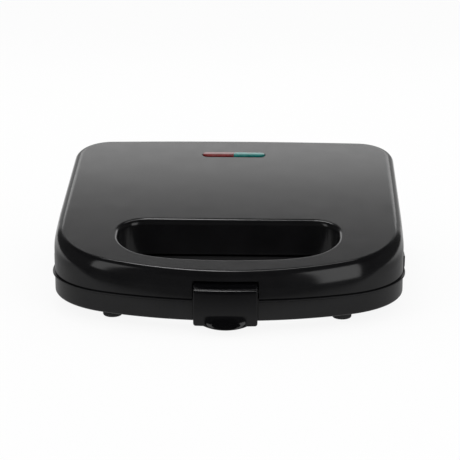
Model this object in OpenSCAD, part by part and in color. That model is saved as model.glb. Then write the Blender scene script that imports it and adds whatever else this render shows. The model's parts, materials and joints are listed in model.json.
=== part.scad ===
// Countertop sandwich toaster: a wedge-shaped lid and a shallow base, each with
// a loop handle at the front, hinged at the rear and held shut by a swinging latch.
// Millimetres, +Z up, front towards -Y. The origin is on the table under the middle.
// Inside the modules Y is measured back from the front of the seam lip, and
// placed() moves the finished piece to the origin.

/* [Body outline] */
// Width over the seam lip
body_w = 230; // [224:1:240]
// Depth from the front of the seam lip to the middle of the back
body_d = 220; // [216:1:226]
// Radius of the bowed front
front_r = 206; // [190:1:230]
// Radius of the front corners
corner_r = 59; // [50:1:64]
// Radius of the back corners
back_corner_r = 27; // [24:1:30]
// Radius of the slightly bowed back
back_r = 2200; // [1500:100:3000]

/* [Heights] */
// Height of the feet
foot_h = 7; // [6:0.5:9]
// Height of the seam above the bottom, along the handle
seam_rise = 14; // [12:0.5:16]
// Extra height of the seam round the cooking chamber
chamber_rise = 6.3; // [5:0.1:8]
// Height of the top above the table, at the front
top_front_z = 37.3; // [36:0.1:40]
// Slope of the top, in degrees
top_slope = 9.43; // [8:0.01:10.5]

/* [Shells] */
// Thickness of the moulded walls
wall = 2.4; // [2:0.1:3]
// Gap between the lid and the base
seam_gap = 0.5; // [0.4:0.1:0.8]
// Radius of the lid's top edge
edge_r = 6.5; // [5:0.5:8]
// How far the lid's wall stands inside the seam lip
lid_inset = 1.3; // [1:0.05:2]
// The same at the waist under the top edge
waist_inset = 1.5; // [1:0.1:3]
// The same at the start of the rounded top edge
brow_inset = 1.4; // [1:0.1:2.5]
// How far the base's wall stands inside the seam lip
base_inset = 1.4; // [1:0.1:2.5]
// How far the drip rim of the chamber stands outside the lip
rim_proud = 0.5; // [0.3:0.1:2]

/* [Handle] */
// Front of the finger opening
grip_front = 22.3; // [20:0.1:24]
// Back of the finger opening
grip_back = 79.5; // [78:0.5:82]
// Width of the finger opening
grip_w = 142.2; // [136:0.2:147]
// Radius of its front edge in the middle
grip_mid_r = 290; // [250:1:400]
// Degrees that the front edge has turned at the end of its middle part
grip_mid_turn = 5.9; // [4:0.1:7]
// Radius of its front edge beside the middle
grip_side_r = 92; // [80:1:130]
// Degrees that the front edge has turned where the corner starts
grip_side_turn = 18.5; // [14:0.1:20]
// Radius of its back corners
grip_back_r = 17; // [10:0.5:18]
// Rounding of its upper edge
grip_edge_r = 3; // [2:0.5:4]

/* [Cooking plates] */
// Width of a plate
plate_w = 217; // [212:1:217]
// Depth of a plate, front to back
plate_d = 126; // [120:1:126]
// Thickness of the plate's flange
plate_t = 3; // [2.5:0.1:3.5]
// Depth of each triangular pocket
pocket_depth = 8; // [6:0.5:8]
// Half the width of the divider between the two squares
divider = 5.5; // [5:0.5:7]
// Half the width of the sealing ridge along each diagonal
ridge = 3.5; // [3:0.5:5]
// Corner radius of the pockets
pocket_r = 7; // [4:0.5:8]

/* [Heating elements] */
// Radius of the sheathed element
element_r = 3; // [2.5:0.25:3]
// Half the width of its loop
element_x = 72; // [60:1:80]
// Radius of its bends
bend_r = 10; // [8:1:12]

/* [Hinge] */
// Distance of the hinge pins from the front
hinge_y = 227; // [226:0.5:230]
// Height of the hinge pins above the table
hinge_z = 31; // [30.5:0.5:34]
// Radius of the hinge knuckles
knuckle_r = 5.5; // [5:0.25:6]
// Radius of the hinge pins
hinge_pin_r = 2; // [1.5:0.25:2.5]
// Distance of each hinge from the middle
hinge_x = 64; // [55:1:75]
// Width of the lid's knuckle
knuckle_w = 18; // [14:1:22]

/* [Latch] */
// Width of the latch
latch_w = 39.8; // [38:0.2:44]
// Width of its thumb tab
tab_w = 27; // [26:1:32]
// How far the latch's face stands in front of the lip
latch_proud = 2.5; // [2:0.5:4]
// How far the thumb tab stands in front of the lip
tab_proud = 8; // [6:0.5:10]
// Distance of the latch pin from the front
latch_pin_y = 6.5; // [6:0.25:7]
// Height of the latch pin above the table
latch_pin_z = 26.5; // [26:0.25:27]
// Radius of the latch pin
latch_pin_r = 1.25; // [1:0.25:1.5]

/* [Indicator lights] */
// Sideways place of the lens
lens_x = 0; // [-5:0.5:5]
// Distance of the lens from the front
lens_y = 189.2; // [180:0.1:192]
// Length of the lens
lens_w = 44.2; // [42:0.1:48]
// Width of the lens, front to back
lens_d = 6.6; // [6:0.1:8]

/* [Feet and cord inlet] */
// Radius of the feet
foot_r = 6.2; // [5.5:0.1:7]
// Sideways place of the front feet
front_foot_x = 73; // [73:0.5:78]
// Distance of the front feet from the front
front_foot_y = 34; // [30:0.5:34]
// Sideways place of the back feet
back_foot_x = 85; // [75:1:90]
// Distance of the back feet from the front
back_foot_y = 203; // [195:1:204]
// Sideways place of the cord inlet
inlet_x = 40; // [36:1:41]
// Radius of the hole for the cord
inlet_r = 3.6; // [3:0.1:4]

/* [Hidden] */
$fn = 48;

black_shell = [0.07, 0.07, 0.075];
coating = [0.13, 0.13, 0.13];
steel = [0.72, 0.72, 0.74];

half_w = body_w / 2;
bottom_z = foot_h;
floor_z = bottom_z + wall;
seam_z = bottom_z + seam_rise;
chamber_z = seam_z + chamber_rise;
step_start = grip_back - 2.5;
step_end = grip_back;
joint_z = chamber_z + seam_gap / 2;
past_front = -40;
past_back = 260;
cut_w = 300;
above = 90;
below = 15;
back_reach = hinge_y + knuckle_r;
mid_y = (back_reach - tab_proud) / 2;

// Moves a piece from the drawing's place to the part's origin
module placed() { translate([0, -mid_y, 0]) children(); }

function mix(a, b, t) = a + (b - a) * t;
function step(y) = min(1, max(0, (y - step_start) / (step_end - step_start)));
function top_z(y) = top_front_z + tan(top_slope) * y;

// The outline seen from above is a ring of arcs. Each column is a point on one of
// them: [centre x, centre y, radius, angle], so that an inset only shortens the radius.
corner_y = front_r - sqrt(pow(front_r - corner_r, 2) - pow(half_w - corner_r, 2));
back_corner_y = body_d - back_r
              + sqrt(pow(back_r - back_corner_r, 2) - pow(half_w - back_corner_r, 2));
front_angle = asin((half_w - corner_r) / (front_r - corner_r));
back_angle = asin((half_w - back_corner_r) / (back_r - back_corner_r));
side_stops = [step_start, step_end, 115, 155];
right_columns = concat(
    [for (k = [0:6]) [0, front_r, front_r, -90 + front_angle * k / 6]],
    [for (k = [1:8]) [half_w - corner_r, corner_y, corner_r,
                      -90 + front_angle + (90 - front_angle) * k / 8]],
    [for (y = side_stops) [half_w - back_corner_r, y, back_corner_r, 0]],
    [for (k = [0:6]) [half_w - back_corner_r, back_corner_y, back_corner_r,
                      (90 - back_angle) * k / 6]],
    [for (k = [1:3]) [0, body_d - back_r, back_r, 90 - back_angle + back_angle * k / 3]]);
left_columns = [for (k = [len(right_columns) - 2:-1:1])
    let (c = right_columns[k]) [-c[0], c[1], c[2], 180 - c[3]]];
columns = concat(right_columns, left_columns);

function column_point(c, inset) = [c[0] + (c[2] - inset) * cos(c[3]),
                                   c[1] + (c[2] - inset) * sin(c[3])];

// A ring whose inset and height change where the seam steps up to the chamber
function seam_ring(inset_front, inset_chamber, z_front, z_chamber) =
    [for (c = columns)
        let (t = step(c[1] + c[2] * sin(c[3])),
             p = column_point(c, mix(inset_front, inset_chamber, t)))
        [p[0], p[1], mix(z_front, z_chamber, t)]];

// A ring that lies a given drop under the sloping top
function top_ring(inset, drop) =
    [for (c = columns) let (p = column_point(c, inset)) [p[0], p[1], top_z(p[1]) - drop]];

// The finger opening: its outline is drawn in the same way and grows outwards
// Its front edge is a chain of arcs, each tangent to the next. The last one is the corner,
// whose radius follows from the width.
grip_half = grip_w / 2;
grip_corner_r = (grip_half - (grip_mid_r - grip_side_r) * sin(grip_mid_turn)
                 - grip_side_r * sin(grip_side_turn)) / (1 - sin(grip_side_turn));
grip_mid = [0, grip_front + grip_mid_r];
grip_side = grip_mid + (grip_mid_r - grip_side_r) * [sin(grip_mid_turn), -cos(grip_mid_turn)];
grip_corner = grip_side + (grip_side_r - grip_corner_r)
                          * [sin(grip_side_turn), -cos(grip_side_turn)];
function turned(centre, r, start, end, steps, first) =
    [for (k = [first:steps]) [centre[0], centre[1], r, start + (end - start) * k / steps - 90]];
grip_right = concat(
    turned(grip_mid, grip_mid_r, 0, grip_mid_turn, 2, 0),
    turned(grip_side, grip_side_r, grip_mid_turn, grip_side_turn, 3, 1),
    turned(grip_corner, grip_corner_r, grip_side_turn, 90, 7, 1),
    [for (k = [0:6]) [grip_half - grip_back_r, grip_back - grip_back_r, grip_back_r,
                      90 * k / 6]]);
grip_columns = concat(grip_right, [for (k = [len(grip_right) - 1:-1:1])
    let (c = grip_right[k]) [-c[0], c[1], c[2], 180 - c[3]]]);

function grip_ring(grow, z) =
    [for (c = grip_columns) let (p = column_point(c, -grow)) [p[0], p[1], z]];
function grip_top_ring(grow, drop) =
    [for (c = grip_columns) let (p = column_point(c, -grow)) [p[0], p[1], top_z(p[1]) - drop]];

// A solid through a stack of rings with equal counts, closed at both ends
module loft(rings) {
    n = len(rings[0]);
    last = len(rings) - 1;
    polyhedron(
        points = [for (r = rings) for (p = r) p],
        faces = concat(
            [[for (i = [0:n - 1]) i]],
            [for (k = [0:last - 1]) for (i = [0:n - 1]) let (j = (i + 1) % n)
                [k * n + i, (k + 1) * n + i, (k + 1) * n + j, k * n + j]],
            [[for (i = [n - 1:-1:0]) last * n + i]]),
        convexity = 8);
}

// A bar along X with a given profile in Y and Z
module along_x(points, x0, x1) {
    translate([x0, 0, 0]) rotate([90, 0, 90]) linear_extrude(x1 - x0) polygon(points);
}

// A cylinder along X or Y, from one place to another
module rod_x(r, x0, x1, y, z) {
    translate([x0, y, z]) rotate([0, 90, 0]) cylinder(r = r, h = x1 - x0);
}

module rod_y(r, y0, y1, x, z) {
    translate([x, y0, z]) rotate([-90, 0, 0]) cylinder(r = r, h = y1 - y0);
}

// A box between two corners
module block(low, high) { translate(low) cube(high - low); }

// Everything below the lid's lower edge, and everything above the base's upper edge
module under_lid() {
    z0 = seam_z + seam_gap;
    along_x([[past_front, 0], [past_back, 0], [past_back, z0 + chamber_rise],
             [step_end, z0 + chamber_rise], [step_start, z0], [past_front, z0]],
            -cut_w / 2, cut_w / 2);
}

module over_base() {
    along_x([[past_front, seam_z], [step_start, seam_z], [step_end, chamber_z],
             [past_back, chamber_z], [past_back, above], [past_front, above]],
            -cut_w / 2, cut_w / 2);
}

// A solid that ends halfway through the lid's walls, for the walls and ribs inside it
waist_drop = edge_r + 3.5;

module lid_core() {
    half_wall = wall / 2;
    core_r = edge_r - half_wall;
    loft(concat(
        [seam_ring(lid_inset + half_wall, lid_inset + half_wall, below, below),
         top_ring(waist_inset + half_wall, waist_drop)],
        [for (a = [0:30:90])
            top_ring(brow_inset + half_wall + core_r * (1 - cos(a)),
                     half_wall + core_r * (1 - sin(a)))]));
}

// --- Screw places, shared by plates, bosses, reflectors and screws
plate_y0 = grip_back + wall + 1.1;
plate_y1 = plate_y0 + plate_d;
screw_spots = [[0, plate_y0 + 15], [0, plate_y1 - 6],
               [plate_w / 2 - 3.6, (plate_y0 + plate_y1) / 2],
               [-plate_w / 2 + 3.6, (plate_y0 + plate_y1) / 2]];
screw_r = 1.4;
screw_head_r = 2.5;
screw_head_h = 1.5;
screw_len = 9;
boss_r = 3.2;
plate_gap = 0.2;
plate_back = plate_gap + plate_t;

// --- Latch recess, in both housings
recess_half = latch_w / 2 + 1.5;
recess_top = latch_pin_z + 6;
lid_recess_y = latch_pin_y + 3.7;
base_recess_y = 4;
recess_wall_top = seam_z - 4;
recess_skin = 1.2;
cheek_y = 3.4;

// The two side walls of the recess, from a front to a back
module recess_cheeks(y1, z0, z1) {
    for (s = [-1, 1])
        block([s * (recess_half + wall / 2) - wall / 2, cheek_y, z0],
              [s * (recess_half + wall / 2) + wall / 2, y1, z1]);
}

// Ribs that stiffen the handle bar, between its front wall and the opening's wall
rib_places = [-58, -34, 34, 58];
rib_t = 1.6;
rib_len = 18.3;

module housing_ribs(z0, z1) {
    for (x = rib_places)
        let (y0 = front_r - sqrt(pow(front_r, 2) - x * x) + cheek_y)
        block([x - rib_t / 2, y0, z0], [x + rib_t / 2, y0 + rib_len, z1]);
}

// Half the width of the wall across the chamber's front, which ends inside the outer walls
cross_wall_x = half_w - lid_inset - wall + 0.8;

// --- Base -----------------------------------------------------------------

module base_shell() {
    lip_t = 1.3;
    edge = 1.5;
    loft([
        seam_ring(base_inset + edge, base_inset + edge, bottom_z, bottom_z),
        seam_ring(base_inset + 0.3 * edge, base_inset + 0.3 * edge,
                  bottom_z + 0.3 * edge, bottom_z + 0.3 * edge),
        seam_ring(base_inset, base_inset, bottom_z + edge, bottom_z + edge),
        seam_ring(base_inset, base_inset, seam_z - lip_t - 0.4, seam_z + 0.3),
        seam_ring(0, -rim_proud, seam_z - lip_t, seam_z + 0.8),
        seam_ring(0, -rim_proud, seam_z, chamber_z),
        seam_ring(base_inset + wall, base_inset + wall, seam_z, chamber_z),
        seam_ring(base_inset + wall, base_inset + wall, floor_z, floor_z)]);
}

vent_rows = [128, 166];
vent_columns = 9;
vent_pitch = 16;

module bottom_vents() {
    for (y = vent_rows, k = [0:vent_columns - 1])
        translate([(k - (vent_columns - 1) / 2) * vent_pitch, y, bottom_z - 1])
            linear_extrude(wall + 2) {
                square([3, 22], center = true);
                for (s = [-1, 1]) translate([0, s * 11]) circle(r = 1.5);
            }
}

ear_w = 6;
ear_foot_z = 12;
hinge_play = 0.3;
root_y = body_d - base_inset - wall - 1.2;

// The two ears of one hinge, joined to the base's back wall
module hinge_ears(side) {
    for (s = [-1, 1]) {
        x0 = side * hinge_x + s * (knuckle_w / 2 + hinge_play + ear_w / 2) - ear_w / 2;
        rod_x(knuckle_r, x0, x0 + ear_w, hinge_y, hinge_z);
        along_x([[root_y, ear_foot_z], [hinge_y - 5, ear_foot_z],
                 [hinge_y + knuckle_r * 0.93, hinge_z - 2], [hinge_y, hinge_z],
                 [hinge_y - knuckle_r, hinge_z], [hinge_y - knuckle_r - 0.8, chamber_z - 0.2],
                 [root_y, chamber_z - 0.2]], x0, x0 + ear_w);
    }
}

module lower_housing() {
    color(black_shell) placed() difference() {
        union() {
            base_shell();
            difference() {
                union() {
                    loft([grip_ring(wall, bottom_z + 0.5), grip_ring(wall, above)]);
                    block([-cross_wall_x, grip_back, bottom_z + 1],
                          [cross_wall_x, grip_back + wall, above]);
                    housing_ribs(bottom_z + 1, seam_z - 2);
                }
                over_base();
            }
            block([-recess_half - wall, base_recess_y, bottom_z + 1],
                  [recess_half + wall, base_recess_y + wall, recess_wall_top]);
            recess_cheeks(base_recess_y + wall, bottom_z + 1, seam_z - 0.6);
            for (p = screw_spots)
                translate([p[0], p[1], bottom_z + 1])
                    cylinder(r = boss_r, h = joint_z - plate_back - bottom_z - 1);
            for (side = [-1, 1]) hinge_ears(side);
        }
        loft([grip_ring(1.5, bottom_z - 1), grip_ring(1.5, bottom_z),
              grip_ring(0.4, bottom_z + 0.5), grip_ring(0, bottom_z + 1.5),
              grip_ring(0, above)]);
        block([-recess_half, -10, bottom_z - 1], [recess_half, base_recess_y, seam_z + 1]);
        for (p = screw_spots)
            translate([p[0], p[1], floor_z + 1]) cylinder(r = screw_r + 0.02, h = 30);
        for (s = [-1, 1]) {
            rod_x(hinge_pin_r + 0.02, s * hinge_x - 20, s * hinge_x + 20, hinge_y, hinge_z);
            translate([s * front_foot_x, front_foot_y, bottom_z - 1]) cylinder(r = 2.6, h = 8);
            translate([s * back_foot_x, back_foot_y, bottom_z - 1]) cylinder(r = 2.6, h = 8);
        }
        rod_y(inlet_body_r + 0.05, 205, 225, inlet_x, inlet_z);
        bottom_vents();
        // Bare place for the rating plate
        block([-30, 98, bottom_z - 1], [30, 112, bottom_z + 0.4]);
    }
}

// --- Cooking plates ---------------------------------------------------------

square_x1 = plate_w / 2 - 7;
square_y0 = plate_y0 + 6;
square_y1 = plate_y1 - 6;

function incentre(t) =
    let (a = norm(t[1] - t[2]), b = norm(t[2] - t[0]), c = norm(t[0] - t[1]))
    (a * t[0] + b * t[1] + c * t[2]) / (a + b + c);
function inradius(t) =
    let (a = norm(t[1] - t[2]), b = norm(t[2] - t[0]), c = norm(t[0] - t[1]),
         u = t[1] - t[0], v = t[2] - t[0])
    abs(u[0] * v[1] - u[1] * v[0]) / (a + b + c);

corner_steps = 4;

// A triangle drawn in by an inset, with round corners, as a ring at height z
function pocket_ring(t, inset, r, z) =
    let (m = incentre(t), k = 1 - (inset + r) / inradius(t),
         s = [for (p = t) m + k * (p - m)])
    [for (i = [0:2])
        let (prev = s[(i + 2) % 3], here = s[i], next = s[(i + 1) % 3],
             a0 = atan2(here[1] - prev[1], here[0] - prev[0]) - 90,
             a1 = atan2(next[1] - here[1], next[0] - here[0]) - 90,
             turn = a1 - a0 < 0 ? a1 - a0 + 360 : a1 - a0)
        for (q = [0:corner_steps])
            [here[0] + r * cos(a0 + turn * q / corner_steps),
             here[1] + r * sin(a0 + turn * q / corner_steps), z]];

// The four pocket triangles, counter-clockwise from above
pocket_triangles = [
    [[divider, square_y0], [square_x1, square_y0], [square_x1, square_y1]],
    [[divider, square_y0], [square_x1, square_y1], [divider, square_y1]],
    [[-divider, square_y0], [-square_x1, square_y1], [-square_x1, square_y0]],
    [[-divider, square_y0], [-divider, square_y1], [-square_x1, square_y1]]];

ridge_inset = ridge * 0.55;

// The pocket's space, or with a skin the swelling on the plate's back. Local z = 0 is
// the joint between the plates, and the pocket goes down.
module pocket(t, skin) {
    draft = 5;
    top = skin > 0 ? -plate_back + 0.6 : 1;
    loft([
        pocket_ring(t, ridge_inset + draft + 3 - skin, pocket_r - 2,
                    -plate_gap - pocket_depth - skin),
        pocket_ring(t, ridge_inset + draft - skin, pocket_r,
                    -plate_gap - pocket_depth + 2 - skin),
        pocket_ring(t, ridge_inset - skin + (skin > 0 ? 1.4 : 0), pocket_r,
                    skin > 0 ? top : -plate_gap),
        pocket_ring(t, ridge_inset - skin + (skin > 0 ? 1.4 : 0), pocket_r,
                    skin > 0 ? top + 0.4 : top)]);
}

module plate_outline() {
    r_back = 22;
    r_front = 6;
    x = plate_w / 2;
    translate([-x, plate_y0 + r_front]) square([plate_w, plate_d - r_front - r_back]);
    translate([-x + r_front, plate_y0]) square([plate_w - 2 * r_front, r_front + 1]);
    translate([-x + r_back, plate_y1 - r_back - 1]) square([plate_w - 2 * r_back, r_back + 1]);
    for (s = [-1, 1]) {
        translate([s * (x - r_front), plate_y0 + r_front]) circle(r = r_front);
        translate([s * (x - r_back), plate_y1 - r_back]) circle(r = r_back);
    }
}

// One cooking plate, face up, with its joint face just under z = 0
module plate() {
    difference() {
        union() {
            translate([0, 0, -plate_back]) linear_extrude(plate_t) plate_outline();
            for (t = pocket_triangles) pocket(t, 1.8);
        }
        for (t = pocket_triangles) pocket(t, 0);
        for (p = screw_spots) {
            translate([p[0], p[1], -plate_back - 1]) cylinder(r = screw_r + 0.15, h = 10);
            translate([p[0], p[1], -plate_gap - 1.8]) cylinder(r = screw_head_r + 0.3, h = 5);
        }
    }
}

module lower_plate() { color(coating) placed() translate([0, 0, joint_z]) plate(); }

module upper_plate() {
    color(coating) placed() translate([0, 0, joint_z]) mirror([0, 0, 1]) plate();
}

// Pan-head screws that hold one plate, face up
module plate_screws() {
    for (p = screw_spots) translate([p[0], p[1], -plate_gap - 1.8]) {
        cylinder(r = screw_head_r, h = screw_head_h);
        translate([0, 0, -screw_len]) cylinder(r = screw_r, h = screw_len + 0.5);
    }
}

module lower_plate_screws() { color(steel) placed() translate([0, 0, joint_z]) plate_screws(); }

module upper_plate_screws() {
    color(steel) placed() translate([0, 0, joint_z]) mirror([0, 0, 1]) plate_screws();
}

// --- Heating elements -------------------------------------------------------

element_depth = plate_gap + pocket_depth + 1.8 + 0.15 + element_r;
element_front = plate_y0 + 24;
element_back = plate_y1 - 34;
terminal_x = 14;
tail_end = plate_y1 - 8;

// A quarter bend in the XY plane, about a centre, from a start angle
module bend(cx, cy, start) {
    translate([cx, cy, 0]) rotate([0, 0, start])
        rotate_extrude(angle = 90) translate([bend_r, 0]) circle(r = element_r);
}

// One bent tube: in at the back, round under the pockets, and out again
module element() {
    rod_x(element_r, -element_x + bend_r, element_x - bend_r, element_front, 0);
    for (s = [-1, 1]) {
        rod_y(element_r, element_front + bend_r, element_back - bend_r, s * element_x, 0);
        rod_x(element_r, s > 0 ? terminal_x + bend_r : -element_x + bend_r,
              s > 0 ? element_x - bend_r : -terminal_x - bend_r, element_back, 0);
        rod_y(element_r, element_back + bend_r, tail_end - 6, s * terminal_x, 0);
        rod_y(1.2, tail_end - 7, tail_end, s * terminal_x, 0);
        bend(s * (element_x - bend_r), element_front + bend_r, s > 0 ? 270 : 180);
        bend(s * (element_x - bend_r), element_back - bend_r, s > 0 ? 0 : 90);
        bend(s * (terminal_x + bend_r), element_back + bend_r, s > 0 ? 180 : 270);
    }
}

lower_element_z = joint_z - element_depth;
upper_element_z = joint_z + element_depth;

module lower_heating_element() {
    color("dimgray") placed() translate([0, 0, lower_element_z]) element();
}

module upper_heating_element() {
    color("dimgray") placed() translate([0, 0, upper_element_z]) element();
}

support_spots = [[-40, element_front], [40, element_front], [-40, element_back],
                 [40, element_back]];

// Saddles that press the element against the plate, from a sheet at z = sheet_gap below
module supports(sheet_gap) {
    for (p = support_spots) difference() {
        block([p[0] - 3, p[1] - 5, -sheet_gap], [p[0] + 3, p[1] + 5, -0.4]);
        rod_x(element_r + 0.05, p[0] - 4, p[0] + 4, p[1], 0);
    }
}

lower_sheet_top = floor_z + 0.6;
upper_sheet_z = upper_element_z + element_r + 1.4;
sheet_t = 0.5;

module lower_element_supports() {
    color("gainsboro") placed() translate([0, 0, lower_element_z])
        supports(lower_element_z - lower_sheet_top);
}

module upper_element_supports() {
    color("gainsboro") placed() translate([0, 0, upper_element_z])
        mirror([0, 0, 1]) supports(upper_sheet_z - upper_element_z);
}

// Bright sheet that throws the heat back to the plate
module reflector_sheet() {
    difference() {
        block([-100, plate_y0 + 6, 0], [100, plate_y1 - 10, sheet_t]);
        for (p = screw_spots) translate([p[0], p[1], -1]) cylinder(r = boss_r + 0.3, h = 3);
        for (s = [-1, 1])
            block([s * terminal_x - 4, tail_end - 12, -1], [s * terminal_x + 4, 230, 3]);
    }
}

module lower_reflector() {
    color("silver") placed() translate([0, 0, lower_sheet_top - sheet_t]) reflector_sheet();
}

module upper_reflector() {
    color("silver") placed() translate([0, 0, upper_sheet_z]) reflector_sheet();
}

// --- Electrical pieces ------------------------------------------------------

wire_y = plate_y1 + 0.4;

module lower_thermal_fuse() {
    color("white") placed() {
        rod_x(1.9, -42, -28, wire_y, lower_element_z);
        for (x = [-45, -28]) rod_x(0.6, x, x + 3, wire_y, lower_element_z);
    }
}

module upper_thermal_fuse() {
    color("white") placed() {
        rod_x(1.9, -42, -28, wire_y - 1, upper_element_z);
        for (x = [-45, -28]) rod_x(0.6, x, x + 3, wire_y - 1, upper_element_z);
    }
}

module terminal_block() {
    color("ivory") placed() difference() {
        block([22, wire_y - 2, floor_z + 0.6], [36, wire_y + 2, floor_z + 10]);
        for (x = [25.5, 32.5])
            translate([x, wire_y, floor_z + 4]) cylinder(r = 1.3, h = 12);
    }
}

// A run of insulated wire through a list of points
module wire(points) {
    r = 0.7;
    for (k = [0:len(points) - 2]) {
        a = points[k];
        d = points[k + 1] - a;
        translate(a) rotate([0, acos(d[2] / norm(d)), atan2(d[1], d[0])])
            cylinder(r = r, h = norm(d), $fn = 16);
        if (k > 0) translate(a) sphere(r = r, $fn = 16);
    }
}

module lower_wiring() {
    z = lower_element_z;
    color("white") placed() {
        wire([[-terminal_x, tail_end + 0.1, z], [-terminal_x, wire_y, z], [-24.8, wire_y, z]]);
        wire([[terminal_x, tail_end + 0.1, z], [terminal_x, wire_y, z], [21.9, wire_y, z]]);
    }
}

module thermostat() {
    back_z = joint_z + plate_gap + pocket_depth + 1.8;
    color("tan") placed() translate([36, element_front + 28, back_z + 0.05]) {
        cylinder(r = 8, h = 3);
        cylinder(r = 5, h = 4.6);
    }
}

module upper_wiring() {
    z = upper_element_z;
    lamp_floor = top_z(lens_y) - 16;
    color("white") placed() {
        wire([[-terminal_x, tail_end + 0.1, z], [-terminal_x, wire_y - 1, z],
              [-24.8, wire_y - 1, z]]);
        wire([[terminal_x, tail_end + 0.1, z], [terminal_x, wire_y - 3, z],
              [terminal_x, wire_y - 3, lamp_floor - 1]]);
    }
}

inlet_z = bottom_z + 8.35;
inlet_body_r = 4.6;
inlet_flange_r = inlet_body_r + 1.1;

// Bushing for the mains lead, snapped into the base's back wall
module cord_inlet_bushing() {
    inner = body_d - base_inset - wall - 0.7;
    outer = body_d - base_inset - 0.2;
    color([0.05, 0.05, 0.05]) placed() difference() {
        union() {
            rod_y(inlet_body_r, inner - 1.6, outer + 1.8, inlet_x, inlet_z);
            rod_y(inlet_flange_r, inner - 1.6, inner, inlet_x, inlet_z);
            rod_y(inlet_flange_r, outer, outer + 1.8, inlet_x, inlet_z);
        }
        rod_y(inlet_r, inner - 3, outer + 4, inlet_x, inlet_z);
    }
}

// --- Feet ---------------------------------------------------------------------

// Soft foot whose stem is pushed into the bottom
module foot(x, y) {
    color([0.06, 0.06, 0.06]) placed() translate([x, y, 0]) {
        rotate_extrude() polygon([[0, 0], [foot_r - 1.2, 0], [foot_r - 0.4, 0.5],
                                  [foot_r, 1.4], [foot_r, foot_h], [0, foot_h]]);
        translate([0, 0, foot_h - 0.5]) cylinder(r = 2.55, h = wall + 1.7);
    }
}

module front_left_foot() { foot(-front_foot_x, front_foot_y); }
module front_right_foot() { foot(front_foot_x, front_foot_y); }
module back_left_foot() { foot(-back_foot_x, back_foot_y); }
module back_right_foot() { foot(back_foot_x, back_foot_y); }

// --- Hinge pins -----------------------------------------------------------------

module hinge_pin(side) {
    half = knuckle_w / 2 + hinge_play + ear_w;
    color(steel) placed()
        rod_x(hinge_pin_r, side * hinge_x - half, side * hinge_x + half, hinge_y, hinge_z);
}

module left_hinge_pin() { hinge_pin(-1); }
module right_hinge_pin() { hinge_pin(1); }

// --- Lid --------------------------------------------------------------------------

module lid_shell() {
    inner_r = edge_r - wall;
    z0 = seam_z + seam_gap;
    loft(concat(
        [for (a = [90, 60, 30, 0])
            top_ring(brow_inset + wall + inner_r * (1 - cos(a)), wall + inner_r * (1 - sin(a)))],
        [top_ring(waist_inset + wall, waist_drop),
         seam_ring(lid_inset + wall, lid_inset + wall, z0, z0 + chamber_rise),
         seam_ring(lid_inset, lid_inset, z0, z0 + chamber_rise),
         top_ring(waist_inset, waist_drop)],
        [for (a = [0:15:90]) top_ring(brow_inset + edge_r * (1 - cos(a)), edge_r * (1 - sin(a)))]));
}

// Places a child on the sloping top, at the lens
module on_lens() {
    translate([lens_x, lens_y, top_z(lens_y)]) rotate([top_slope, 0, 0]) children();
}

module lens_outline(grow) {
    r = lens_d / 2 + grow;
    half = lens_w / 2 - lens_d / 2;
    square([2 * half, 2 * r], center = true);
    for (s = [-1, 1]) translate([s * half, 0]) circle(r = r);
}

module upper_housing() {
    skin_z = top_z(plate_y0);
    color(black_shell) placed() difference() {
        union() {
            lid_shell();
            difference() {
                intersection() {
                    union() {
                        loft([grip_ring(wall, below), grip_top_ring(wall, wall / 2)]);
                        block([-cross_wall_x, grip_back, below],
                              [cross_wall_x, grip_back + wall, above]);
                        housing_ribs(seam_z + seam_gap + 2, recess_top + 2);
                        block([-recess_half - wall, lid_recess_y, below],
                              [recess_half + wall, lid_recess_y + wall, recess_top + 1]);
                        recess_cheeks(lid_recess_y + wall, below, recess_top + recess_skin);
                        block([-recess_half - wall, cheek_y, recess_top],
                              [recess_half + wall, lid_recess_y + wall,
                               recess_top + recess_skin]);
                    }
                    lid_core();
                }
                under_lid();
            }
            for (p = screw_spots) {
                translate([p[0], p[1], joint_z + plate_back])
                    cylinder(r = boss_r, h = top_z(p[1]) - wall / 2 - joint_z - plate_back);
                translate([p[0], p[1], upper_sheet_z + sheet_t + 0.05])
                    cylinder(r = boss_r + 1.2,
                             h = top_z(p[1]) - wall / 2 - upper_sheet_z - sheet_t - 0.05);
            }
            for (s = [-1, 1]) {
                rod_x(knuckle_r, s * hinge_x - knuckle_w / 2, s * hinge_x + knuckle_w / 2,
                      hinge_y, hinge_z);
                block([s * hinge_x - knuckle_w / 2, root_y + 0.4, chamber_z + seam_gap + 0.4],
                      [s * hinge_x + knuckle_w / 2, hinge_y, hinge_z + knuckle_r]);
            }
        }
        loft(concat([grip_ring(0, 10)],
            [for (a = [0:30:90])
                grip_top_ring(grip_edge_r * (1 - cos(a)), grip_edge_r * (1 - sin(a)))],
            [grip_top_ring(grip_edge_r, -3)]));
        block([-recess_half, -10, below], [recess_half, lid_recess_y, recess_top]);
        rod_x(latch_pin_r + 0.02, -recess_half - wall * 0.7, recess_half + wall * 0.7,
              latch_pin_y, latch_pin_z);
        for (p = screw_spots)
            translate([p[0], p[1], joint_z]) cylinder(r = screw_r + 0.02, h = 14);
        for (s = [-1, 1])
            rod_x(hinge_pin_r + 0.06, s * hinge_x - 15, s * hinge_x + 15, hinge_y, hinge_z);
        on_lens() translate([0, 0, -6]) linear_extrude(9) lens_outline(0);
    }
}

// --- Indicator lights ---------------------------------------------------------------

lens_proud = 1;
lens_flange_z = -wall - 0.05;
lens_flange = 0.8;

module half_lens(side) {
    on_lens() intersection() {
        union() {
            translate([0, 0, lens_flange_z]) linear_extrude(-lens_flange_z + lens_proud)
                lens_outline(-0.1);
            translate([0, 0, lens_flange_z - 1]) linear_extrude(1.02) lens_outline(lens_flange);
        }
        block([side > 0 ? 0.05 : -40, -20, -10], [side > 0 ? 40 : -0.05, 20, 10]);
    }
}

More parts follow.
